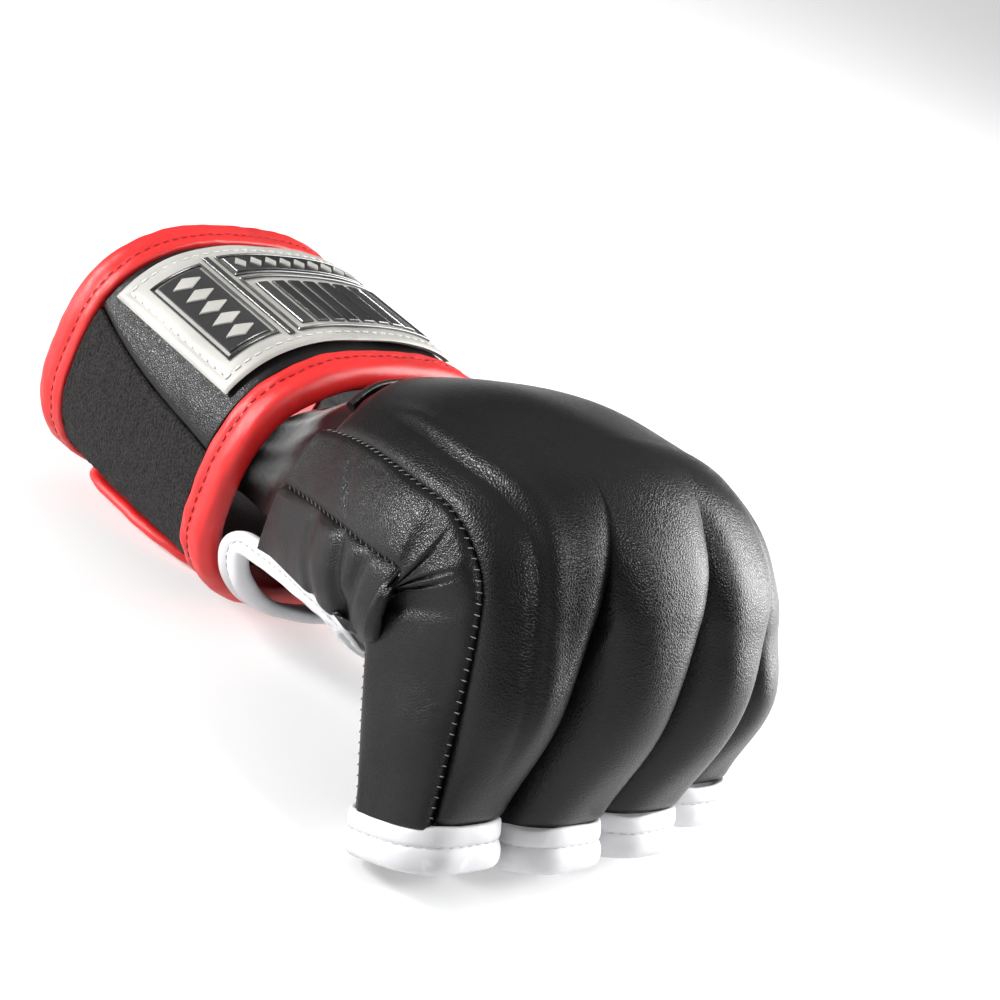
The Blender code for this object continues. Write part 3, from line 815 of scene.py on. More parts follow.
def block_motifs():
    """Small light lozenges on the two filled blocks, as (a, b, half a, half b)."""
    found = [(12.1, b, 3.4, 1.9) for b in np.arange(11, 32, 4.9)]
    found += [(a, 9.2, 1.5, 1.9) for a in np.arange(27, 61, 4.2)]
    return found


def slabs(name, outlines, low, high):
    """Flat-topped raised shapes with bevelled rims, from closed outlines on the patch."""
    points, faces = [], []
    for outline in outlines:
        outline = np.asarray(outline, float)
        middle = outline.mean(0)
        count = len(outline)
        base = len(points)
        reach = np.abs(outline - middle).max(0)
        for inset, lift in ((0, low), (0, high - 0.16), (0.16, high)):
            ring = middle + (outline - middle) * (1 - inset / np.maximum(reach, 0.3))
            points.extend(on_patch(ring[:, 0], ring[:, 1], lift).tolist())
        for k in range(2):
            for i in range(count):
                j = (i + 1) % count
                faces.append((base + k * count + i, base + k * count + j,
                              base + (k + 1) * count + j, base + (k + 1) * count + i))
        half = count // 2
        for k, flip in ((0, True), (2, False)):
            ring = [base + k * count + i for i in range(count)]
            for i in range(half - 1):
                quad = (ring[i], ring[i + 1], ring[count - 2 - i], ring[count - 1 - i])
                faces.append(quad[::-1] if flip else quad)
    mesh = bpy.data.meshes.new(name)
    mesh.from_pydata((np.array(points) * MM).tolist(), [], faces)
    obj = bpy.data.objects.new(name, mesh)
    bpy.context.scene.collection.objects.link(obj)
    in_edit(obj, lambda: bpy.ops.mesh.normals_make_consistent(inside=False))
    return obj


def rectangle(a0, b0, a1, b1):
    """A rectangle's outline, with enough points on its long sides to bend round the cuff."""
    count = max(2, int(abs(a1 - a0) / 0.8) + 1)
    there = [(a, b0) for a in np.linspace(a0, a1, count)]
    back = [(a, b1) for a in np.linspace(a1, a0, count)]
    return there + back


def lozenge(a, b, half_a, half_b):
    xs = np.linspace(-1, 1, 7)
    there = [(a + half_a * x, b + half_b * (1 - abs(x)) + 0.05) for x in xs]
    back = [(a + half_a * x, b - half_b * (1 - abs(x)) - 0.05) for x in xs[::-1]]
    return there + back


class GLOVE_OT_patch(bpy.types.Operator):
    """Moulds the rubber patch with its raised plain emblem, and sews it round its edge"""
    bl_idname = "glove.patch"
    bl_label = "Patch"

    def execute(self, context):
        length, width = PATCH_SPAN[1] - PATCH_SPAN[0], 2 * PATCH_HALF_LENGTH

        def place(u, v):
            a, b = u * length, v * width
            edge = np.minimum(np.minimum(a, length - a), np.minimum(b, width - b))
            lift = edge_roll(edge, 0.7) * 0.8 - 0.22 * bell(edge - 2.6, 0.5)
            return on_patch(a, b, lift + 0.12 * ripples(a, b, 30, 22))

        obj = flat_piece("patch_face", 136, 84, place, CUFF_INSIDE)
        use_modifier(obj, "SOLIDIFY", thickness=PATCH_THICKNESS * 0.85 * MM, offset=-1)
        dress(obj, "patch", "hand", ["patch_base"])
        emblem = slabs("patch_raised_bars", [rectangle(*shape) for shape in raised_shapes()],
                       -0.1, 0.62)
        dress(emblem, "emblem", "hand", ["patch_emblem"], 35)
        light = slabs("patch_lozenges", [lozenge(*motif) for motif in block_motifs()], 0.5, 0.95)
        dress(light, "patch", "hand", (), 35)
        inset = 2.6
        corners = np.array([(inset, inset), (length - inset, inset), (length - inset, width - inset),
                            (inset, width - inset), (inset, inset)])
        line = np.concatenate([np.linspace(p, q, 60) for p, q in zip(corners, corners[1:])])
        points = on_patch(line[:, 0], line[:, 1], -0.15)
        outward = on_patch(line[:, 0], line[:, 1], 1.0) - points
        keep = np.concatenate([[True], np.linalg.norm(np.diff(points, axis=0), axis=1) > 1e-6])
        sew("patch_stitches", (points[keep], outward[keep]), "clear_thread", "hand", 2.7, 1.9, 0.5,
            0.4, 0.06)
        return {"FINISHED"}


def strap_binding(name, line, steps, u, replaced, body, profile):
    tape(name + "_tape", steps, line, profile, "red", body, [replaced], around=30)
    points = line(u, 5.75 + 0 * u, -0.1 + 0 * u)
    sew(name + "_stitches", (points, line(u, 5.75 + 0 * u, 1 + 0 * u) - points), "red_thread_painted_shade", body,
        2.5, 1.8, 0.42, 0.34, 0.1)


class GLOVE_OT_strap(bpy.types.Operator):
    """Makes the strap's side strip, its rounded tab, their red bindings and the hook panel"""
    bl_idname = "glove.strap"
    bl_label = "Strap"

    def execute(self, context):
        half = CUFF_HALF_LENGTH
        profile = [(p, max(o, -2.6) if o > -2.7 else -2.6) for p, o in (
            (8.4, -2.5), (8.55, -0.6), (8.0, -0.1), (6.9, 0.12), (6.2, 0.0), (5.7, -0.2), (5.2, 0.0),
            (4.2, 0.25), (2.6, 0.25), (1.2, 0.0), (0.2, -0.7), (0.0, -1.4), (0.4, -2.3), (1.6, -2.6),
            (5.0, -2.6))]
        root, corner = STRAP_ROOT - 0.8, STRAP_CORNER + 0.8

        def side_place(u, v):
            at, y = mix(corner, root, u), mix(half - 9, 9 - half, v)
            return cuff_at(at, y, STRAP_OUT - 0.1 + 0.15 * ripples(at, y, 40, 20))

        side = panel("strap_side_leather", 38, 46, side_place, STRAP_THICKNESS - 0.4, CUFF_INSIDE,
                     "thin", "strap_side", ["strap_side"])
        for label, sign in (("proximal", 1), ("distal", -1)):
            def line(u, across, lift, sign=sign):
                at = mix(corner, root, u)
                return cuff_at(at, sign * (half - across), STRAP_OUT + lift
                               + 0.12 * ripples(at, across, 44, 9))

            node = f"strap_side_{label}_binding"
            strap_binding(node, line, 40, np.linspace(0.02, 0.98, 120), node, "strap_side", profile)

        def tab_place(u, v):
            far_x, far_y = tab_line(np.linspace(0, 1, 400), 8.9)
            end = far_x.max() - 0.05
            at = mix(end, 0.9, u)
            turn = np.argmax(far_x >= end - 1e-3)
            low = np.interp(at, far_x[:turn + 1], far_y[:turn + 1])
            back = far_x[turn:][::-1]
            high = np.interp(at, back, far_y[turn:][::-1])
            y = mix(high, low, v)
            return cuff_at(STRAP_CORNER - at, y, STRAP_OUT - 0.1 + 0.15 * ripples(at, y, 42, 20))

        tab = panel("strap_tab_leather", 60, 60, tab_place, STRAP_THICKNESS - 0.4, CUFF_INSIDE,
                    "thin", "strap_tab", ["strap_tab"])

        def tab_edge(u, across, lift):
            outer, inner = tab_line(u, 0.0), tab_line(u, 8.6)
            share = across / 8.6
            at = mix(outer[0], inner[0], share)
            y = mix(outer[1], inner[1], share)
            return cuff_at(STRAP_CORNER - at, y, STRAP_OUT + lift + 0.12 * ripples(at, y, 46, 9))

        strap_binding("strap_tab_binding", tab_edge, 190, np.linspace(0.01, 0.99, 500),
                      "strap_tab_binding", "strap_tab", profile)

        def hook_place(u, v):
            at, y = mix(38, 8, u), mix(19, -4, v)
            return cuff_at(STRAP_CORNER - at, y, 1.4 + 0.12 * ripples(at, y, 47, 1.2))

        hook = panel("strap_hooks", 60, 46, hook_place, 1.5, CUFF_INSIDE, "hook", "strap_tab",
                     ["strap_hook_panel"])
        return {"FINISHED"}


# ---------------------------------------------------------------- the padded back

ACROSS = 33
XI = np.cos(math.pi * np.linspace(0, 1, ACROSS))
FULLNESS = {"index": 4.0, "middle": 4.2, "ring": 4.8, "little": 5.6}
GROOVE_STARTS = {-25.2: 1.85, 0.6: 1.66, 25.75: 1.58}
BORDERS = {"index": (-25.2, None), "middle": (0.6, -25.2), "ring": (25.75, 0.6),
           "little": (None, 25.75)}


def degrees_at(x):
    """Where x lies on the hand's outline at the knuckles, in degrees."""
    return np.degrees(np.arccos(np.sign(x) * (np.abs(x) / KNUCKLE_HALF_WIDTH) ** (HAND_SQUARENESS / 2)))


def settled_at(w):
    """How far the turn has passed from the knuckle line to the finger's own pivot."""
    return smooth((w - 1.3) / 0.85)


def groove_at(w, start):
    return smooth((w - start) / 0.95) ** 1.5


def pad_rows():
    """Path positions w down the pad: the hand part, the turn over the knuckles, the straight."""
    return np.concatenate([np.linspace(0, 1, HAND_ROWS + 1)[:-1], np.linspace(1, 2, 38)[:-1]])


def lobe_surface(name, w):
    """Points on one finger's share of the padded back, for path rows w by ACROSS columns, from
    its +X border to its -X border."""
    finger = FINGERS[name]
    right, left = BORDERS[name]
    w = np.asarray(w)[:, None] + 0 * XI
    share = (1 - XI)[None, :] / 2
    d_right = PAD_ULNAR_EDGE if right is None else float(degrees_at(right))
    if left is None:
        d_left = thumb_seam(np.where(w < 1, mix(0.19, 1, w), w))
    else:
        d_left = float(degrees_at(left))
    degrees = mix(d_right, d_left, share)
    first = pad_start(degrees)
    on_the_hand = w < 1
    w = np.where(on_the_hand, mix(first, 1, w), w)
    t = np.minimum(w, 1)
    x_a, h_a = hand_section(degrees, t)
    x_right = x_a[:, :1] - (0.0 if right is None else 0.4 * smooth(w[:, :1] - 1))
    x_left = x_a[:, -1:] + (0.0 if left is None else 0.4 * smooth(w[:, :1] - 1))
    x_b = (x_right + x_left) / 2 + (x_right - x_left) / 2 * XI
    x = mix(x_a, x_b, smooth((w - 1) * 1.5))
    across = np.clip(np.abs(x / KNUCKLE_HALF_WIDTH), 0, 1)
    h_smooth = KNUCKLE_UP * (1 - across ** HAND_SQUARENESS) ** (1 / HAND_SQUARENESS)
    deep = shallow = 0
    for side, border in ((XI > 0, right), (XI < 0, left)):
        if border is not None:
            deep = deep + side * groove_at(w, GROOVE_STARTS[border])
            shallow = shallow + side * smooth((w - GROOVE_STARTS[border] + 0.5) / 0.8)
    round_off = np.clip(1 - np.abs(XI) ** 2.7, 0, 1) ** (1 / 2.7)
    round_off = mix(1 - 0.14 * shallow * np.abs(XI) ** 4, round_off, deep)
    h = np.where(on_the_hand, h_a, 4 + (h_smooth - 4) * round_off)
    # The straight part tapers to the finger's own oval at the hem.
    middle, half = finger[0], finger[1]
    end_right = middle + half if right is not None else middle + half * 0.985
    end_left = middle - half if left is not None else middle - half * 0.70
    x_c = (end_right + end_left) / 2 + (end_right - end_left) / 2 * XI
    h_c = PAD_HEM_HEIGHT * np.clip(1 - np.abs((x_c - middle) / half) ** 3, 0, 1) ** (1 / 3)
    pad_end = finger_length(finger) - HEM_LENGTH
    taper = np.clip((w - 2) * STRAIGHT_MM / pad_end, 0, 1)
    sink = taper ** 1.25
    x, h = mix(x, x_c, smooth(taper)), mix(h, h_c, sink)
    # Padding is fullest in the middle of each finger and pressed in at the hem and the seams.
    h = h + FULLNESS[name] * np.sin(math.pi * taper) ** 1.5 * (1 - XI ** 2) ** 0.6
    from_wrist = (w - first) * 62
    fall = np.where(on_the_hand, edge_roll(from_wrist, 4.5), 0)
    from_hem = pad_end - np.maximum(w - 2, 0) * STRAIGHT_MM
    fall = fall + edge_roll(from_hem, 2.2) * 0.45 * (w > 2)
    if left is None:
        from_seam = share[:, ::-1] * 26
        fall = fall + edge_roll(from_seam, 2.6) * 0.5
        depth = smooth((w - 0.30) * 3) * (1 - smooth((taper - 0.35) * 2.0))
        fall = fall - 0.8 * bell(XI + 0.30, 0.10) * depth + 0.7 * bell(XI + 0.06, 0.20) * depth
    if right is None:
        fall = fall + edge_roll(share * 22, 2.2) * 0.5
    fall = fall + 0.18 * ripples(x, w * 55, 50, 30)
    h = h + fall
    x = x * (1 + 0.35 * fall / KNUCKLE_HALF_WIDTH * np.abs(x) / 30)
    settled = settled_at(w)
    return along(x, h, w, finger, settled), x, h, w


def grid_normals(points):
    down = np.gradient(points, axis=0)
    across = np.gradient(points, axis=1)
    normals = np.cross(across, down)
    return normals / (np.linalg.norm(normals, axis=-1)[..., None] + 1e-12)


def closed_body(name, outer, inner, normals, looks):
    """A closed padded body between an outer grid and an inner grid, its rim joined. The outer
    face keeps exact normals, so neighbouring bodies meet without a visible line."""
    rows, columns = outer.shape[:2]
    count = rows * columns
    faces = []
    for j in range(rows - 1):
        for i in range(columns - 1):
            a = j * columns + i
            faces.append((a, a + 1, a + columns + 1, a + columns))
    inner_faces = [tuple(k + count for k in face[::-1]) for face in faces]
    border = ([(0, i) for i in range(columns)] + [(j, columns - 1) for j in range(1, rows)]
              + [(rows - 1, i) for i in range(columns - 2, -1, -1)]
              + [(j, 0) for j in range(rows - 2, 0, -1)])
    border = [j * columns + i for j, i in border]
    rim = []
    for k, a in enumerate(border):
        b = border[(k + 1) % len(border)]
        rim.append((b, a, a + count, b + count))
    mesh = bpy.data.meshes.new(name)
    points = np.concatenate([outer.reshape(-1, 3), inner.reshape(-1, 3)]) * MM
    every = faces + inner_faces + rim
    if (normals[rows // 2, columns // 2] @ np.cross(
            outer[rows // 2, columns // 2 + 1] - outer[rows // 2, columns // 2],
            outer[rows // 2 + 1, columns // 2] - outer[rows // 2, columns // 2])) < 0:
        every = [face[::-1] for face in every]
    mesh.from_pydata(points.tolist(), [], every)
    mesh.update()
    obj = bpy.data.objects.new(name, mesh)
    bpy.context.scene.collection.objects.link(obj)
    for look in looks:
        mesh.materials.append(finishes()[look])
    slots = np.zeros(len(every), np.int32)
    slots[len(faces):] = len(looks) - 1
    mesh.polygons.foreach_set("material_index", slots)
    mesh.polygons.foreach_set("use_smooth", np.ones(len(every), bool))
    inner_normals = -grid_normals(inner)
    if (inner_normals[rows // 2, columns // 2] @ normals[rows // 2, columns // 2]) > 0:
        inner_normals = -inner_normals
    every_normal = np.concatenate([normals.reshape(-1, 3), inner_normals.reshape(-1, 3)])
    mesh.normals_split_custom_set_from_vertices(every_normal.tolist())
    return obj


def outward_normals(points):
    normals = grid_normals(points)
    middle = points[points.shape[0] // 2, points.shape[1] // 2]
    centre = np.array([middle[0] * 0.6, middle[1] + 10, 30.0])
    if normals[points.shape[0] // 2, points.shape[1] // 2] @ (middle - centre) < 0:
        normals = -normals
    return normals


HAND_ROWS = 55
SPLIT = 6  # rows of the turn that stay with the hand


def blend_over_knuckle(obj):
    """Bakes a piece's placement into its mesh."""
    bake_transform(obj)


class GLOVE_OT_back_pad(bpy.types.Operator):
    """Shapes the padded back of the hand up to the knuckles"""
    bl_idname = "glove.back_pad"
    bl_label = "Back Pad"

    def execute(self, context):
        keep = HAND_ROWS + SPLIT + 1
        parts, normals, steps = [], [], []
        for name in ("little", "ring", "middle", "index"):
            points, _, _, w = lobe_surface(name, pad_rows())
            cut = slice(0 if name == "little" else 1, None)
            parts.append(points[:keep, cut])
            normals.append(outward_normals(points)[:keep, cut])
            steps.append(w[:keep, cut])
        outer = np.concatenate(parts, 1)
        normal = np.concatenate(normals, 1)
        w = np.concatenate(steps, 1)
        edge = np.minimum(np.linspace(0, 1, w.shape[1]), np.linspace(1, 0, w.shape[1])) * 2
        thickness = 1.6 + 11 * smooth(edge * 3) * smooth((w - w[0]) * 8)
        inner = outer - normal * thickness[..., None]
        obj = closed_body("back_pad", outer, inner, normal, ["pad", "lining"])
        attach(obj, "hand")
        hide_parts("backhand_leather", "backhand_foam", "backhand_lining")
        return {"FINISHED"}


class GLOVE_OT_finger_pads(bpy.types.Operator):
    """Shapes the four padded lobes that run from the knuckles to the hems"""
    bl_idname = "glove.finger_pads"
    bl_label = "Finger Pads"

    def execute(self, context):
        for name, finger in FINGERS.items():
            pad_end = finger_length(finger) - HEM_LENGTH
            straight = 2 + np.linspace(0, pad_end, 40) / STRAIGHT_MM
            rows = np.concatenate([pad_rows(), straight])
            points, x, h, w = lobe_surface(name, rows)
            normal = outward_normals(points)
            begin = HAND_ROWS + SPLIT
            points, normal = points[begin:], normal[begin:]
            x, h, w = x[begin:], h[begin:], w[begin:]
            # Side walls go down inside the grooves to the finger's widest line.
            settled = settled_at(w)
            drop = np.linspace(1, 0, 7)[:-1]

            def wall(column, sign, x=x, h=h, w=w, finger=finger, settled=settled):
                xs = x[:, [column]] + 0 * drop
                hs = mix(h[:, [column]], np.minimum(3.0, h[:, [column]] - 0.5), drop)
                xs = xs - sign * 0.35 * smooth(drop * 3)
                return along(xs, hs, w[:, :1] + 0 * drop, finger, settled[:, :1])

            right, left = wall(0, 1), wall(-1, -1)[:, ::-1]
            side = np.zeros((len(points), len(drop), 3)) + (1, 0, 0)
            outer = np.concatenate([right, points, left], 1)
            normal_all = np.concatenate([side, normal, -side], 1)
            # The inside follows the finger.
            across = np.linspace(0, 1, outer.shape[1])
            angle = mix(-8, 188, across)
            x_in, h_in = oval(finger[1] - 2.2, 10.6, 10.6, 2.4, angle)
            ws = w[:, :1] + 0 * across
            inner = along(finger[0] + x_in + 0 * ws, h_in + 0 * ws, ws, finger,
                          np.maximum(settled[:, :1], 0.6) + 0 * ws)
            obj = closed_body(name + "_pad", outer, inner, normal_all, ["pad", "lining"])
            blend_over_knuckle(obj)
            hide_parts(name + "_pad_leather", name + "_pad_foam", name + "_knuckle_pad")
        return {"FINISHED"}


# ---------------------------------------------------------------- thin leather

def strip_surface(u, w):
    """The strip down the thumb side, from the pad's seam (u 0) to the web's (u 1)."""
    finger = FINGERS["index"]
    w = np.where(w < 1, mix(0.235, 1, w), w)
    degrees = mix(thumb_seam(w) + 0.4, web_seam(w) - 0.4 + 22 * smooth((w - 1.15) / 0.9), u)
    x_a, h_a = hand_section(degrees, np.minimum(w, 1))
    pad_end = finger_length(finger) - HEM_LENGTH
    taper = np.clip((w - 2) * STRAIGHT_MM / pad_end, 0, 1)
    x_c, h_c = oval(finger[1], PAD_HEM_HEIGHT, FINGER_HALF_DEPTH, FINGER_SQUARENESS, mix(132, 207, u))
    x = mix(x_a, finger[0] + x_c, smooth((w - 1.0) / (0.2 + pad_end / STRAIGHT_MM)))
    h = mix(h_a, h_c, taper ** 1.25)
    edge = np.minimum(u, 1 - u) * 17
    inside = smooth(edge / 4)
    push = edge_roll(edge, 2.6) * 0.7 + 0.3
    push = push + 0.55 * ripples(u * 10, w * 50, 60, 22) * inside
    for at, slant, deep in ((1.42, 0.20, 0.8), (1.66, -0.14, 0.9), (1.86, 0.22, 1.0), (2.06, 0.05, 0.7),
                            (0.62, 0.3, 0.4)):
        push = push - deep * inside * smooth(u * 1.6) * bell(w - at - slant * (u - 0.6), 0.028)
    angle = np.radians(mix(138, 190, u))
    x = x + push * np.cos(angle)
    h = h + push * np.sin(angle)
    return along(x, h, w, finger, settled_at(w))


def web_surface(u, v):
    """The web panel between the thumb strip and the palm opening, down into the crook."""
    share = np.linspace(0.0, 0.345, 160)
    edge_t, edge_d = opening_line(share, 3.4 + 0 * share)
    order = np.argsort(edge_t)
    w = mix(0.225, 1.22, v)
    lower = np.interp(w, edge_t[order], edge_d[order])
    top = edge_t.max()
    lower = np.where(w > top, edge_d[np.argmax(edge_t)] + (w - top) * 10, lower)
    upper = web_seam(w) + 22 * smooth((w - 1.15) / 0.9) - 1.5
    degrees = mix(upper, lower, u)
    edge = np.minimum(u * (lower - upper) * 0.8, 40)
    inside = smooth(edge / 3)
    run = v * 55
    out = -0.5 + 0.9 * inside + edge_roll(edge, 1.6) * 0.5
    out = out + inside * (0.7 * ripples(u * 16, run, 64, 20)
                          - 1.1 * bell(run - 26 - 7 * u, 1.7)
                          - 1.0 * bell(run - 35 + 5 * u, 1.5)
                          - 0.7 * bell(run - 14 - 8 * u, 2.0)
                          - 1.0 * bell(run - 44 - 4 * u, 1.6))
    x, h = hand_section(degrees, np.minimum(w, 1), out)
    return along(x, h, w)


def palm_wrinkle(a, b, edge, seed):
    """Height of the palm leather's puckers: a across and b along it, edge from its seams."""
    return smooth(edge / 3) * (0.7 * ripples(a, b, seed, 13) + 0.3 * ripples(a, b, seed + 1, 5)) \
        + edge_roll(edge, 1.4) * 0.6


class GLOVE_OT_thumb_panels(bpy.types.Operator):
    """Makes the strip down the thumb side and the web panel beside the thumb"""
    bl_idname = "glove.thumb_panels"
    bl_label = "Thumb Panels"

    def execute(self, context):
        finger = FINGERS["index"]
        pad_end = finger_length(finger) - HEM_LENGTH + 0.4
        last = 2 + pad_end / STRAIGHT_MM
        strip = panel("thumb_strip", 26, 150, lambda u, v: strip_surface(u, v * last), 1.1,
                      (-20, -80, 40), "thin", None,
                      ["thumb_side_strip", "index_side_strip"])
        blend_over_knuckle(strip)
        web = panel("thumb_web", 30, 70, web_surface, 1.1, HAND_INSIDE, "thin", "hand",
                    ["thumb_web_panel"])
        return {"FINISHED"}


class GLOVE_OT_palm_panels(bpy.types.Operator):
    """Makes the leather of the palm and of the little-finger side"""
    bl_idname = "glove.palm_panels"
    bl_label = "Palm Panels"

    def execute(self, context):
        def side_place(u, v):
            w = mix(0.03, 2.3, v)
            low = SIDE_SEAM - 1.5 - 60 * smooth((w - 0.80) / 0.35)
            degrees = mix(low, PAD_ULNAR_EDGE + 2.5, u)
            edge = np.minimum(u, 1 - u) * 20
            out = palm_wrinkle(u * 20, v * 70, edge, 70) - 0.3 - 1.2 * smooth(w - 1) \
                - 3.0 * smooth((w - 2) / 0.3)
            x, h = hand_section(degrees, np.minimum(w, 1), out)
            return along(x, h, w, FINGERS["little"], settled_at(w))

        side = panel("ulnar_side", 24, 84, side_place, 1.1, HAND_INSIDE, "thin", "hand",
                     ["ulnar_side_panel"])
        share = np.linspace(0, 1, 240)
        edge_t, edge_d = opening_line(share, 4.4 + 0 * share)

        def ulnar_place(u, v):
            t = mix(0.09, 0.90, v)
            inner = edge_d > 268
            order = np.argsort(edge_t[inner])
            last = np.interp(t, edge_t[inner][order], edge_d[inner][order]) - 360
            degrees = mix(last, SIDE_SEAM + 2.0, u)
            edge = np.minimum(u, 1 - u) * (SIDE_SEAM - last) * 0.8
            under = 0.1 - 1.0 * smooth((degrees - SIDE_SEAM + 4) / 5)
            return on_hand(degrees, t, under + palm_wrinkle(degrees, v * 50, edge, 74))

        ulnar = panel("palm_ulnar", 44, 60, ulnar_place, 1.1, HAND_INSIDE, "thin", "hand",
                      ["palm_ulnar_panel"])

        def finger_place(u, v):
            degrees = mix(200, 272, u)
            distal = edge_t > 0.66
            order = np.argsort(edge_d[distal])
            near = np.interp(degrees, edge_d[distal][order], edge_t[distal][order])
            t = mix(near, 0.90, v)
            edge = np.minimum(v, 1 - v) * (0.90 - near) * 62
            return on_hand(degrees, t, 0.1 + palm_wrinkle(degrees, v * 8, edge, 78))

        strip = panel("palm_fingers", 90, 14, finger_place, 1.1, HAND_INSIDE, "thin", "hand",
                      ["palm_finger_panel"])
        return {"FINISHED"}


class GLOVE_OT_opening_binding(bpy.types.Operator):
    """Folds the white binding round the palm and thumb opening and sews it"""
    bl_idname = "glove.opening_binding"
    bl_label = "Opening Binding"

    def execute(self, context):
        half = OPENING_BAND / 2
        profile = ((half + 0.5, -1.0), (half + 0.2, -0.1), (half - 0.8, 0.15), (half - 1.9, 0.05),
                   (half - 2.5, -0.18), (half - 3.1, 0.1), (0.0, 0.45), (-half + 1.6, 0.4),
                   (-half + 0.5, -0.3), (-half, -1.4), (-half + 0.4, -2.5), (-half + 1.6, -2.9),
                   (0.5, -2.8), (half - 0.6, -2.6))

        def line(u, across, lift):
            t, degrees = opening_line(u % 1, across)
            run = u * 180
            return on_hand(degrees, t, lift + 0.12 * ripples(run, across, 80, 8))

        tape("opening_binding_tape", 260, line, profile, "white", "hand",
             ["palm_opening_binding"], closed=True, around=34)
        u = np.linspace(0, 1, 700)
        points = line(u, half - 2.5 + 0 * u, -0.1 + 0 * u)
        outward = line(u, half - 2.5 + 0 * u, 1 + 0 * u) - points
        sew("opening_stitches", (points, outward), "grey_thread", "hand", 2.4, 1.7, 0.36, 0.3, 0.08)
        return {"FINISHED"}


class GLOVE_OT_fingers(bpy.types.Operator):
    """Makes each finger's thin leather sleeve and its white folded hem"""
    bl_idname = "glove.fingers"
    bl_label = "Sleeves and Hems"

    def execute(self, context):
        for number, (name, finger) in enumerate(FINGERS.items()):
            length = finger_length(finger)
            body = name + "_finger"
            start, end = 13.0, length - HEM_LENGTH + 0.6

            def sleeve(u, v, finger=finger, number=number):
                degrees = mix(172, 368, u)
                s = mix(start, end, v)
                edge = np.minimum(u, 1 - u) * 60
                out = -0.7 + 0.5 * ripples(u * 50, s, 90 + number, 12) * smooth(edge / 4)
                out = out - 0.5 * bell(s - 24 - 2 * np.sin(u * 9), 1.2)
                return on_finger(finger, degrees, s, out)

            def middle_at(s, finger=finger):
                return along(np.array(finger[0]), np.array(0.0), np.array(2 + s / STRAIGHT_MM),
                             finger, 1.0)

            axis = middle_at(30)
            obj = panel(name + "_sleeve_leather", 60, 34, sleeve, 1.0, axis, "thin", None,
                        [name + "_sleeve"])
            middle_at(12) * MM
            middle_at(28) * MM
            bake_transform(obj)
            profile = ((0.2, -0.9), (0.0, -0.1), (0.7, 0.3), (2.6, 0.4), (3.4, 0.28), (3.9, 0.02),
                       (4.4, 0.28), (5.6, 0.62), (7.6, 0.6), (8.9, 0.0), (9.4, -0.9), (9.0, -1.8),
                       (7.6, -2.2), (4.0, -2.0), (1.0, -1.9))

            def line(u, across, lift, finger=finger, number=number, length=length):
                degrees = u * 360
                wave = 0.35 * np.sin(math.radians(90) + u * math.tau * 2 + number)
                wave = wave + 0.22 * np.sin(u * math.tau * 5 + number * 2)
                s = length - HEM_LENGTH + across * 0.985 + wave * smooth((6 - across) / 6)
                push = 0.3 * np.sin(u * math.tau * 7 + number) * smooth(across / 6) * 0.6
                points = on_finger(finger, degrees, s, lift + push)
                points[..., 2] = np.maximum(points[..., 2], 0.05)
                return points

            tape(name + "_hem_tape", 120, line, profile, "white", body,
                 [name + "_hem"], closed=True, around=36)
            u = np.linspace(0, 1, 300)
            points = line(u, 3.9 + 0 * u, 0.0 + 0 * u)
            outward = line(u, 3.9 + 0 * u, 1 + 0 * u) - points
            sew(name + "_hem_stitches", (points, outward), "grey_thread", body, 2.4, 1.7, 0.36, 0.3,
                0.08)
        return {"FINISHED"}


class GLOVE_OT_collar(bpy.types.Operator):
    """Gathers the thin collar between cuff and pad, and sews the piping along the pad's edge"""
    bl_idname = "glove.collar"
    bl_label = "Collar and Piping"

    def execute(self, context):
        def place(u, v):
            degrees = mix(-62, 186, u)
            start = np.where(degrees < 150, pad_start(degrees) + 0.05, 0.31)
            t = mix(-0.17, start, v)
            run = u * 170
            fold = 0.75 * ripples(run, v * 7, 100, 26) + 0.35 * np.sin(run * 0.42 + v * 3)
            out = mix(-9.5, -3.2, smooth(v * 1.4)) + fold * np.sin(math.pi * np.clip(v, 0, 1)) ** 0.6
            return on_hand(degrees, t, out)

        collar = panel("wrist_collar_leather", 190, 26, place, 1.1, (0, -36, 38), "gloss", "hand",
                       ["wrist_collar"])
        around = [(math.cos(a), math.sin(a)) for a in np.linspace(0, math.tau, 9)[:-1]]

        def line(u, across, lift):
            degrees = mix(16, 133, u)
            t = pad_start(degrees) - 0.030 + across / 62
            return on_hand(degrees, t, -1.4 + lift)

        profile = [(1.25 * a, 1.25 * b) for a, b in around]
        tape("back_piping", 150, line, profile, "gloss", "hand",
             ["backhand_piping"], around=14)
        return {"FINISHED"}


class GLOVE_OT_seams(bpy.types.Operator):
    """Sews the visible seams of the padded back and the thumb strip"""
    bl_idname = "glove.seams"
    bl_label = "Seams"

    def execute(self, context):
        v = np.linspace(0.01, 0.99, 500)
        pad_end = finger_length(FINGERS["index"]) - HEM_LENGTH + 0.4
        last = 2 + pad_end / STRAIGHT_MM

        def place(a, b):
            return strip_surface(a, b * last)

        on_thumb_side = v * last < 1.15
        for label, u in (("pad", 0.035), ("web", 0.965)):
            points, outward = surface_line(place, u + 0 * v, v)
            centre = np.array([0, -80, 40])
            if (outward * (points - centre)).sum() < 0:
                outward = -outward
            for part, keep, body in (("hand", on_thumb_side, "hand"), ("finger", ~on_thumb_side, None)):
                obj = sew(f"{label}_seam_{part}_ticks", (points[keep], outward[keep]), "bright_thread",
                          body, 2.1, 1.3, 0.26, 0.3, 0.12, True, 12)
                if body is None:
                    blend_over_knuckle(obj)
        return {"FINISHED"}


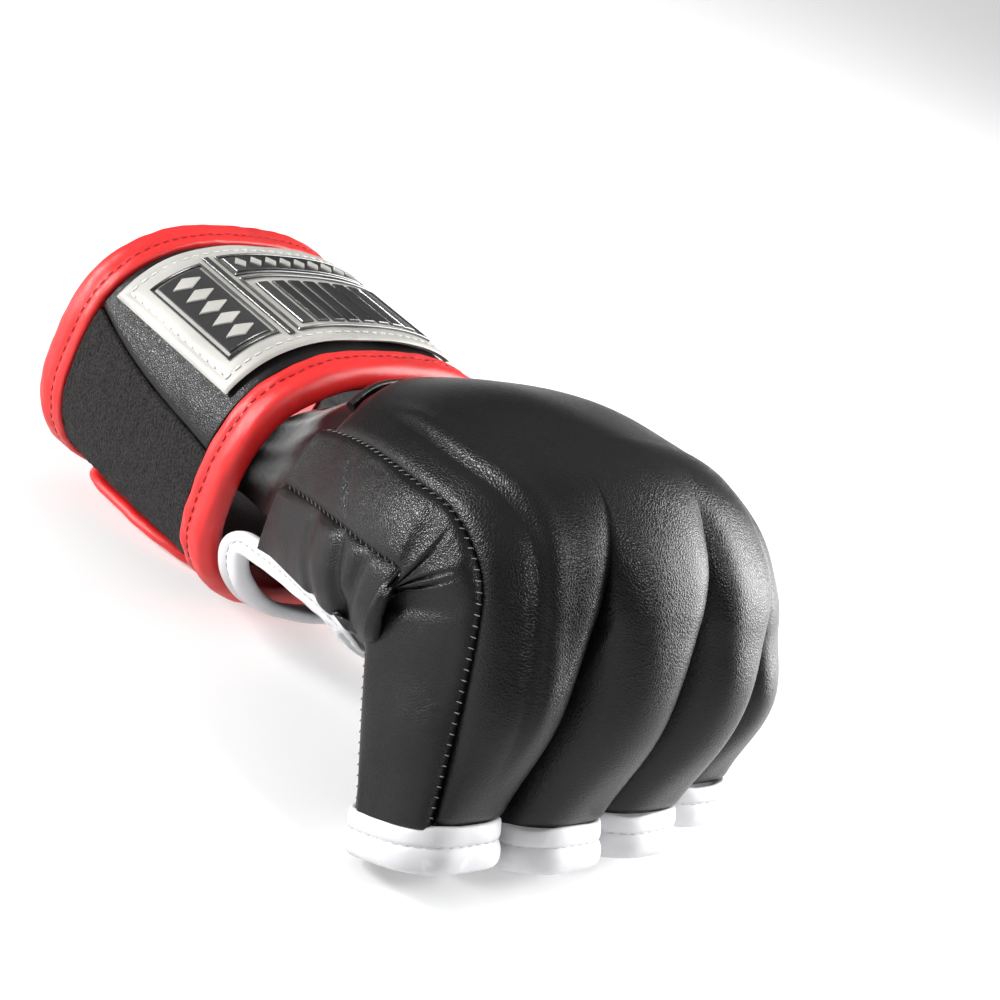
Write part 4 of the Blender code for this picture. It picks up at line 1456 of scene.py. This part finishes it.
class GLOVE_OT_stage(bpy.types.Operator):
    """Lays the pale floor, hangs the soft lights and sets the camera"""
    bl_idname = "glove.stage"
    bl_label = "Stage"

    def execute(self, context):
        deselect()
        bpy.ops.mesh.primitive_plane_add(size=8, location=(0, 0, -0.0003))
        floor = context.object
        floor.name = "floor"
        made = finish("pale_floor", (0.66, 0.66, 0.66), 0.8, Emission_Color=(1, 1, 1, 1),
                      Emission_Strength=0.34)[0]
        floor.data.materials.append(made)
        world = bpy.data.worlds.new("studio")
        context.scene.world = world
        world.use_nodes = True
        add, join = nodes_of(world.node_tree)
        # The room is white to look at, and lights the leather only faintly.
        path = add("ShaderNodeLightPath", (-600, 0))
        strength = add("ShaderNodeMapRange", (-300, 0))
        strength.inputs["To Min"].default_value = 0.10
        strength.inputs["To Max"].default_value = 0.80
        join(path, "Is Camera Ray", strength, "Value")
        sky = add("ShaderNodeBackground", (0, 0))
        sky.inputs["Color"].default_value = (1, 1, 1, 1)
        join(strength, "Result", sky, "Strength")
        join(sky, "Background", add("ShaderNodeOutputWorld", (300, 0)), "Surface")
        context.scene.view_settings.view_transform = "Standard"
        target = Vector((0, -0.06, 0.045))
        bpy.ops.object.light_add(type="SUN", location=(0, 0, 2))
        context.object.name = "top_light"
        context.object.data.energy = 1.0
        context.object.data.angle = math.radians(120)
        for name, direction, distance, size, energy in (
            ("ridge_light", (-0.74, 0.58, 0.33), 0.9, 0.24, 13),
            ("rim_light", (0.83, -0.34, 0.33), 1.0, 0.7, 22),
            ("front_light", (0.06, -0.70, 0.69), 1.2, 0.24, 5),
        ):
            place = target + Vector(direction).normalized() * distance
            bpy.ops.object.light_add(type="AREA", location=place)
            light = context.object
            light.name = name
            light.data.shape = "SQUARE"
            light.data.size = size
            light.data.energy = energy
            light.rotation_euler = (target - place).to_track_quat("-Z", "Y").to_euler()
        azimuth, elevation, roll = (math.radians(a) for a in (-53.2, 21.8, 25.6))
        distance, focal = 0.530, 2.515
        back = Vector((math.sin(azimuth) * math.cos(elevation),
                       -math.cos(azimuth) * math.cos(elevation), math.sin(elevation)))
        right = Vector((math.cos(azimuth), math.sin(azimuth), 0))
        up = back.cross(right)
        turned = right * math.cos(roll) + up * math.sin(roll)
        upright = up * math.cos(roll) - right * math.sin(roll)
        place = target + back * distance
        camera = bpy.data.objects.new("camera", bpy.data.cameras.new("camera"))
        context.scene.collection.objects.link(camera)
        camera.matrix_world = Matrix((
            (turned.x, upright.x, back.x, place.x), (turned.y, upright.y, back.y, place.y),
            (turned.z, upright.z, back.z, place.z), (0, 0, 0, 1)))
        camera.data.sensor_width = 36
        camera.data.lens = focal * 36
        camera.data.shift_x = 0.048
        camera.data.shift_y = 0.024
        camera.data.clip_start = 0.01
        context.scene.camera = camera
        return {"FINISHED"}


class GloveLook(bpy.types.PropertyGroup):
    """The glove's colours and leather grain"""
    leather_colour: FloatVectorProperty(
        name="Leather Colour", description="Colour of the black leather", subtype="COLOR",
        default=(0.0035, 0.0035, 0.0038), min=0, max=1)
    red_colour: FloatVectorProperty(
        name="Red Binding Colour", description="Colour of the cuff and strap bindings",
        subtype="COLOR", default=(0.70, 0.016, 0.016), min=0, max=1)
    white_colour: FloatVectorProperty(
        name="White Binding Colour", description="Colour of the opening binding and the hems",
        subtype="COLOR", default=(0.62, 0.62, 0.64), min=0, max=1)
    patch_colour: FloatVectorProperty(
        name="Patch Colour", description="Colour of the rubber patch", subtype="COLOR",
        default=(0.44, 0.43, 0.40), min=0, max=1)
    grain_size: FloatProperty(
        name="Grain Size", description="Width of one pebble of the leather's grain",
        default=0.00062, min=0.0002, max=0.003, unit="LENGTH")


OPERATORS = (
    GLOVE_OT_cuff_panels, GLOVE_OT_cuff_bindings, GLOVE_OT_patch, GLOVE_OT_strap,
    GLOVE_OT_collar, GLOVE_OT_back_pad, GLOVE_OT_finger_pads, GLOVE_OT_thumb_panels,
    GLOVE_OT_palm_panels, GLOVE_OT_opening_binding, GLOVE_OT_fingers, GLOVE_OT_seams,
    GLOVE_OT_stage,
)


class GLOVE_PT_pieces(bpy.types.Panel):
    """The glove's pieces, in the order in which they are made"""
    bl_label = "Grappling Glove"
    bl_idname = "GLOVE_PT_pieces"
    bl_space_type = "VIEW_3D"
    bl_region_type = "UI"
    bl_category = "Glove"

    def draw(self, context):
        look = context.scene.glove_look
        column = self.layout.column(align=True)
        for name in GloveLook.__annotations__:
            column.prop(look, name)
        column = self.layout.column(align=True)
        for operator in OPERATORS:
            column.operator(operator.bl_idname)


CLASSES = (GloveLook, *OPERATORS, GLOVE_PT_pieces)


def register():
    for cls in CLASSES:
        bpy.utils.register_class(cls)
    bpy.types.Scene.glove_look = PointerProperty(type=GloveLook)


def unregister():
    del bpy.types.Scene.glove_look
    for cls in reversed(CLASSES):
        bpy.utils.unregister_class(cls)


def main():
    register()
    bpy.ops.glove.cuff_panels()
    bpy.ops.glove.cuff_bindings()
    bpy.ops.glove.patch()
    bpy.ops.glove.strap()
    bpy.ops.glove.collar()
    bpy.ops.glove.back_pad()
    bpy.ops.glove.finger_pads()
    bpy.ops.glove.thumb_panels()
    bpy.ops.glove.palm_panels()
    bpy.ops.glove.opening_binding()
    bpy.ops.glove.fingers()
    bpy.ops.glove.seams()
    bpy.ops.glove.stage()


if __name__ == "__main__":
    main()
